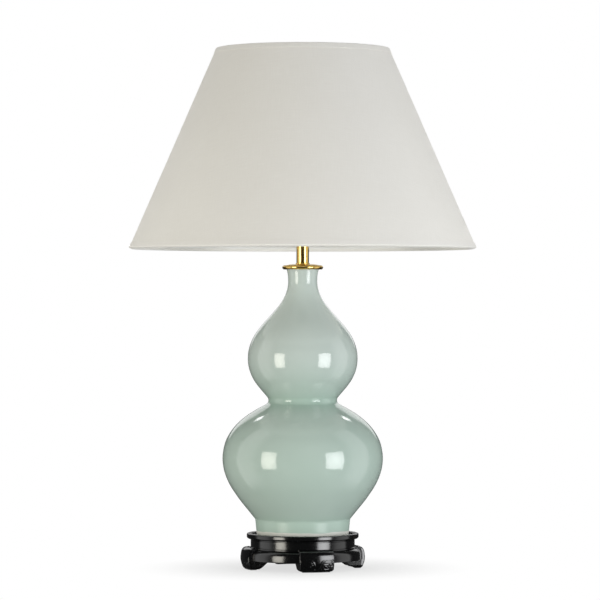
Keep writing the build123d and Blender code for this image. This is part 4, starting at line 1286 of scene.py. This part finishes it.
def arm_points():
    """The wire along +X: path plus radius times (cos b normal + sin b sideways)."""
    start = np.array([ARM_FOOT_R, PIVOT_Z - ARM_FOOT_HALF])
    knee = np.array([ARM_FOOT_R, PIVOT_Z + ARM_FOOT_HALF])
    end = hoop_middle("shade_wire_top") - WIRE_R * np.array([0.75, 0.9])
    run = (end - knee) / np.linalg.norm(end - knee)
    t = np.linspace(0, 1, 13)[:, None]
    bend_from, bend_to = knee - (0, ARM_BEND * 0.5), knee + run * ARM_BEND * 0.5
    bend = (1 - t) ** 2 * bend_from + 2 * t * (1 - t) * knee + t ** 2 * bend_to
    straight = bend_to + np.linspace(0, 1, 41)[1:, None] * (end - bend_to)
    line = np.vstack([start + (0, 0.02), bend, straight])
    from_start = np.linalg.norm(line - start, axis=1)
    from_end = np.linalg.norm(line - end, axis=1)
    thick = ARM_R + WELD_TOP * np.exp(-from_end / 1.2) + WELD_FOOT * np.exp(-from_start / 2)
    line, normal = (np.vstack([rows[:1], rows, rows[-1:]]) for rows in (line, -left_of(line)))
    thick = np.concatenate([[0], thick, [0]])[:, None]
    b = np.linspace(0, 2 * np.pi, 20, endpoint=False)
    r = line[:, :1] + thick * np.cos(b) * normal[:, :1]
    z = line[:, 1:] + thick * np.cos(b) * normal[:, 1:]
    return np.stack([r, thick * np.sin(b), z], axis=-1)


arm = arm_points()
for number in (1, 2, 3):
    wire = swung(arm, 90 + 120 * (number - 1))
    shaped(f"arm_{number}_coated", wire, coated, [f"shade_arm_{number}"], close_rows=False)

# %% [markdown]
# ## The shade's cloth
#
# The cover is a fine off-white cloth pressed onto a stiff lining. It was cut flat as part of a ring, bent
# into a cone and lapped over itself by a centimetre at the back. Every point of the shade therefore has a
# place on the flat cloth: its distance from the cone's tip, and an angle that is smaller than the angle
# round the lamp by the sine of the cone's half angle. Those flat places are the UV map, in metres, so the
# threads run straight across the cut and slant across the shade as real ones do.

# %% Woven cloth
THREAD = 0.00042         # from one thread to the next, in metres


def woven(name, base_dark, base_light):
    """Plain weave: where warp and weft cross, the sines of both directions take turns to be on top."""
    weave = Finish(name, {"Roughness": 0.60, "Specular IOR Level": 0.35, "Sheen Weight": 0.10,
                          "Sheen Roughness": 0.45})
    flat = weave.cloth_place()
    u, v = weave.part(flat, 0), weave.part(flat, 1)
    turn_u, turn_v = u * (math.pi / THREAD), v * (math.pi / THREAD)
    over = turn_u.sine() * turn_v.sine()
    threads = (turn_u * 2).sine() * 0.25 + (turn_v * 2).sine() * 0.25 + over * 0.5
    slub_u = weave.noise(weave.vector(u * 40, v * 900, 0.0), 1.0, 2)
    slub_v = weave.noise(weave.vector(u * 900, v * 40, 3.0), 1.0, 2)
    uneven = slub_u.band(0.35, 0.75) * 0.5 + slub_v.band(0.35, 0.75) * 0.5
    pressed = weave.noise(weave.place(), 7, 3, 0.5)
    tone = threads * 0.22 + 0.4 + uneven * 0.35 + (pressed - 0.5) * 0.5
    weave.set("Base Color", weave.mix(tone.band(0.0, 1.0), base_dark, base_light))
    weave.relief(threads * 0.5 + uneven * 0.5, 0.00016)
    return weave


cover_cloth = woven("shade_cloth", rgb(0.80, 0.785, 0.735), rgb(0.865, 0.853, 0.808))
tape_cloth = woven("binding_tape", rgb(0.80, 0.785, 0.74), rgb(0.865, 0.853, 0.812))

# %% The shade's cone
SHADE_LOW_R, SHADE_LOW, SHADE_TOP = round_size("shade_fabric")
SHADE_TOP_R = 127.0
HALF_ANGLE_TAN = (SHADE_LOW_R - SHADE_TOP_R) / (SHADE_TOP - SHADE_LOW)
HALF_ANGLE = math.atan(HALF_ANGLE_TAN)
CLOTH_T = 0.8
LAP = 10.0
CLIMB = 14.0            # along the cloth, how long its end takes to climb over its start
SEAM = math.radians(76)


def cone_radius(height):
    """Radius of the shade's outer face at a height."""
    return SHADE_LOW_R - (height - SHADE_LOW) * HALF_ANGLE_TAN


def cone_place(height, angle, depth):
    """A point on the shade: depth is measured square to its outer face, inwards."""
    radius = cone_radius(height) - depth * math.cos(HALF_ANGLE)
    lifted = height - depth * math.sin(HALF_ANGLE) + 0 * angle
    return np.stack([radius * np.cos(angle), radius * np.sin(angle), lifted], axis=-1)


def flat_place(height, angle):
    """The same point on the flat cloth, in metres: (distance from the tip) times (cos, sin) of the
    angle times the sine of the half angle."""
    from_tip = cone_radius(height) / math.sin(HALF_ANGLE) * MM
    spread = (angle - SEAM - math.pi) * math.sin(HALF_ANGLE)
    return np.stack([from_tip * np.cos(spread), from_tip * np.sin(spread)], axis=-1)


def up_and_down(rows):
    """Heights up the outer face of a thin skin and down its inner face, and 0 or 1 for the face."""
    height = np.linspace(SHADE_LOW, SHADE_TOP, rows)
    return np.concatenate([height, height[::-1]])[:, None], np.repeat([0.0, 1.0], rows)[:, None]


print(f"half angle of the cone {math.degrees(HALF_ANGLE):.2f} degrees")

# %% Shade cover
ROLL = 0.12             # how far the face rolls in and out


def make_cover():
    """A thin closed skin. Its far end climbs over its near end along the seam, and the whole face
    rolls by a fraction of a millimetre, as cloth pressed on card does."""
    height, inside = up_and_down(48)
    radius = cone_radius(height)
    angle = np.linspace(0, 1, 361) * (2 * np.pi + LAP / radius)
    share = np.clip((angle - 2 * np.pi) * radius / CLIMB + 1, 0, 1)
    lift = (CLOTH_T + 0.1) * share ** 2 * (3 - 2 * share)
    roll = ROLL * np.sin(angle * 3 + height / 70) * np.sin(angle * 7 - height / 45)
    roll = roll * np.sin(np.clip((height - SHADE_LOW) / (SHADE_TOP - SHADE_LOW), 0, 1) * np.pi)
    points = cone_place(height, SEAM + angle, inside * CLOTH_T - lift - roll)
    return shaped("shade_cover_cloth", points, (cover_cloth, "shade", "shade_fabric"), ["shade_fabric"],
                  close_columns=False, cloth_uv=flat_place(height, SEAM + angle))


cover = make_cover()

# %% [markdown]
# Inside, a stiff white lining stands a little way in from the cloth. Its smooth face catches the lamps from
# below and makes the bright line under the shade's rim. It is made the same way, butted instead of lapped.

# %% Lining
lining_sheet = cloudy_finish(
    "stiff_lining", {"IOR": 1.5, "Specular IOR Level": 0.3}, (60, 4, 0.6), (0.3, 0.7),
    (rgb(0.925, 0.915, 0.89), rgb(0.95, 0.945, 0.925)), (0.42, 0.12), (1100, 2), 0.00003)
LINING_T = 0.6
LINING_DEPTH = CLOTH_T + 0.15
height, inside = up_and_down(24)
angle = np.linspace(0, 2 * np.pi, 240, endpoint=False)
lining = cone_place(height, SEAM + angle, LINING_DEPTH + inside * LINING_T)
shaped("shade_lining_sheet", lining, (lining_sheet, "shade", "shade_lining"), ["shade_lining"])

# %% [markdown]
# Both rims are bound with tape of the same cloth, glued outside, folded round the hoop and tucked against
# the lining. Its section is a line of even thickness: two copies of one path, half the tape's thickness
# either side. The path is written as depth behind the shade's face and distance from its edge, so one
# function binds both rims. The outer edge wanders a little, as hand-laid tape does.

# %% Binding tapes
TAPE_T = 0.45
HEM = 6.5
TUCK = 5.2              # height of the tucked edge inside
HOOP_BACK = 5.9         # depth at which the tape turns up behind the hoop


def tape_path():
    """(depth, distance from the edge) from the hem outside, round the fold and the hoop, to the tuck."""
    outside, under = -0.38, -0.45
    return np.vstack([
        np.column_stack([np.full(8, outside), np.linspace(HEM, 0.4, 8)]),
        swell((outside, 0.4), -90, (0.7, under), 0, (0.5, 0.5), 8)[1:],
        swell((0.7, under), 0, (HOOP_BACK, 2.2), 90, (0.75, 0.5), 12)[1:],
        swell((HOOP_BACK, 2.2), 90, (1.95, TUCK), 160, (0.6, 0.5), 10)[1:]])


def make_tape(name, node, edge_z, inward, seed):
    """inward is 1 at the bottom rim, where the hem is above the edge, and -1 at the top."""
    line = tape_path()
    side = left_of(line) * TAPE_T / 2
    section = np.vstack([line + side, (line - side)[::-1]])
    angle = np.linspace(0, 2 * np.pi, 300, endpoint=False)
    wander = 0.18 * np.sin(angle * 5 + seed) + 0.10 * np.sin(angle * 17 + 2 * seed)
    near_hem = np.clip((section[:, 1:] - 3) / 3.5, 0, 1)
    distance = section[:, 1:] + wander * near_hem
    points = cone_place(edge_z + inward * distance, angle, section[:, :1] + 0 * angle)
    uv = flat_place(edge_z + inward * (distance + section[:, :1]), angle)
    return shaped(name, points, (tape_cloth, "shade", "shade_tape"), [node], cloth_uv=uv)


bottom_tape = make_tape("tape_bottom_cloth", "shade_tape_bottom", SHADE_LOW, 1, 0.7)
top_tape = make_tape("tape_top_cloth", "shade_tape_top", SHADE_TOP, -1, 2.9)

# %% [markdown]

# %% [markdown]
# ## Pieces that keep their model shape
#
# What hides inside the lamp has the right shape already. It only gets a finish, so that it looks right when
# the lamp comes apart: steel for the rod and its nut, rubber for the bung, porcelain for the insert.

# %% Inner finishes
rubber = cloudy_finish(
    "soft_rubber", {"Roughness": 0.75, "Specular IOR Level": 0.3}, (200, 4, 0.6), (0.4, 0.8),
    (rgb(0.012, 0.011, 0.010), rgb(0.035, 0.033, 0.030)), depth=0.00005)
china = cloudy_finish("glazed_porcelain", {"IOR": 1.5}, (80, 3), (0.35, 0.7),
                      (rgb(0.76, 0.75, 0.71), rgb(0.81, 0.80, 0.77)), (0.14, 0.10), depth=0.00005)
resin = cloudy_finish("dark_phenolic", {"IOR": 1.55}, (160, 4, 0.6), (0.35, 0.7),
                      (rgb(0.020, 0.013, 0.009), rgb(0.035, 0.024, 0.017)), (0.30, 0.12), (1500, 2), 0.00003)
black_glass = cloudy_finish("black_vitrite", {"IOR": 1.55}, (300, 3), None,
                            (rgb(0.004, 0.004, 0.006), rgb(0.012, 0.012, 0.016)), (0.06, 0.10))
inner_finishes = {
    zinc: ["rod_washer", "rod_nut", "threaded_rod"],
    rubber: ["neck_bung"],
    brass: ["stem_bush", "terminal_screws", "screw_shell", "centre_contact", "side_contact", "switch_bar"],
    resin: ["terminal_block"],
    china: ["holder_insert"],
    black_glass: ["bulb_insulator"],
    aluminium: ["bulb_tip"],
}
for finish, names in inner_finishes.items():
    for name in names:
        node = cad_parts[name]
        node.data.materials.clear()
        node.data.materials.append(finish.material)
print(sum(len(names) for names in inner_finishes.values()), "model pieces finished")
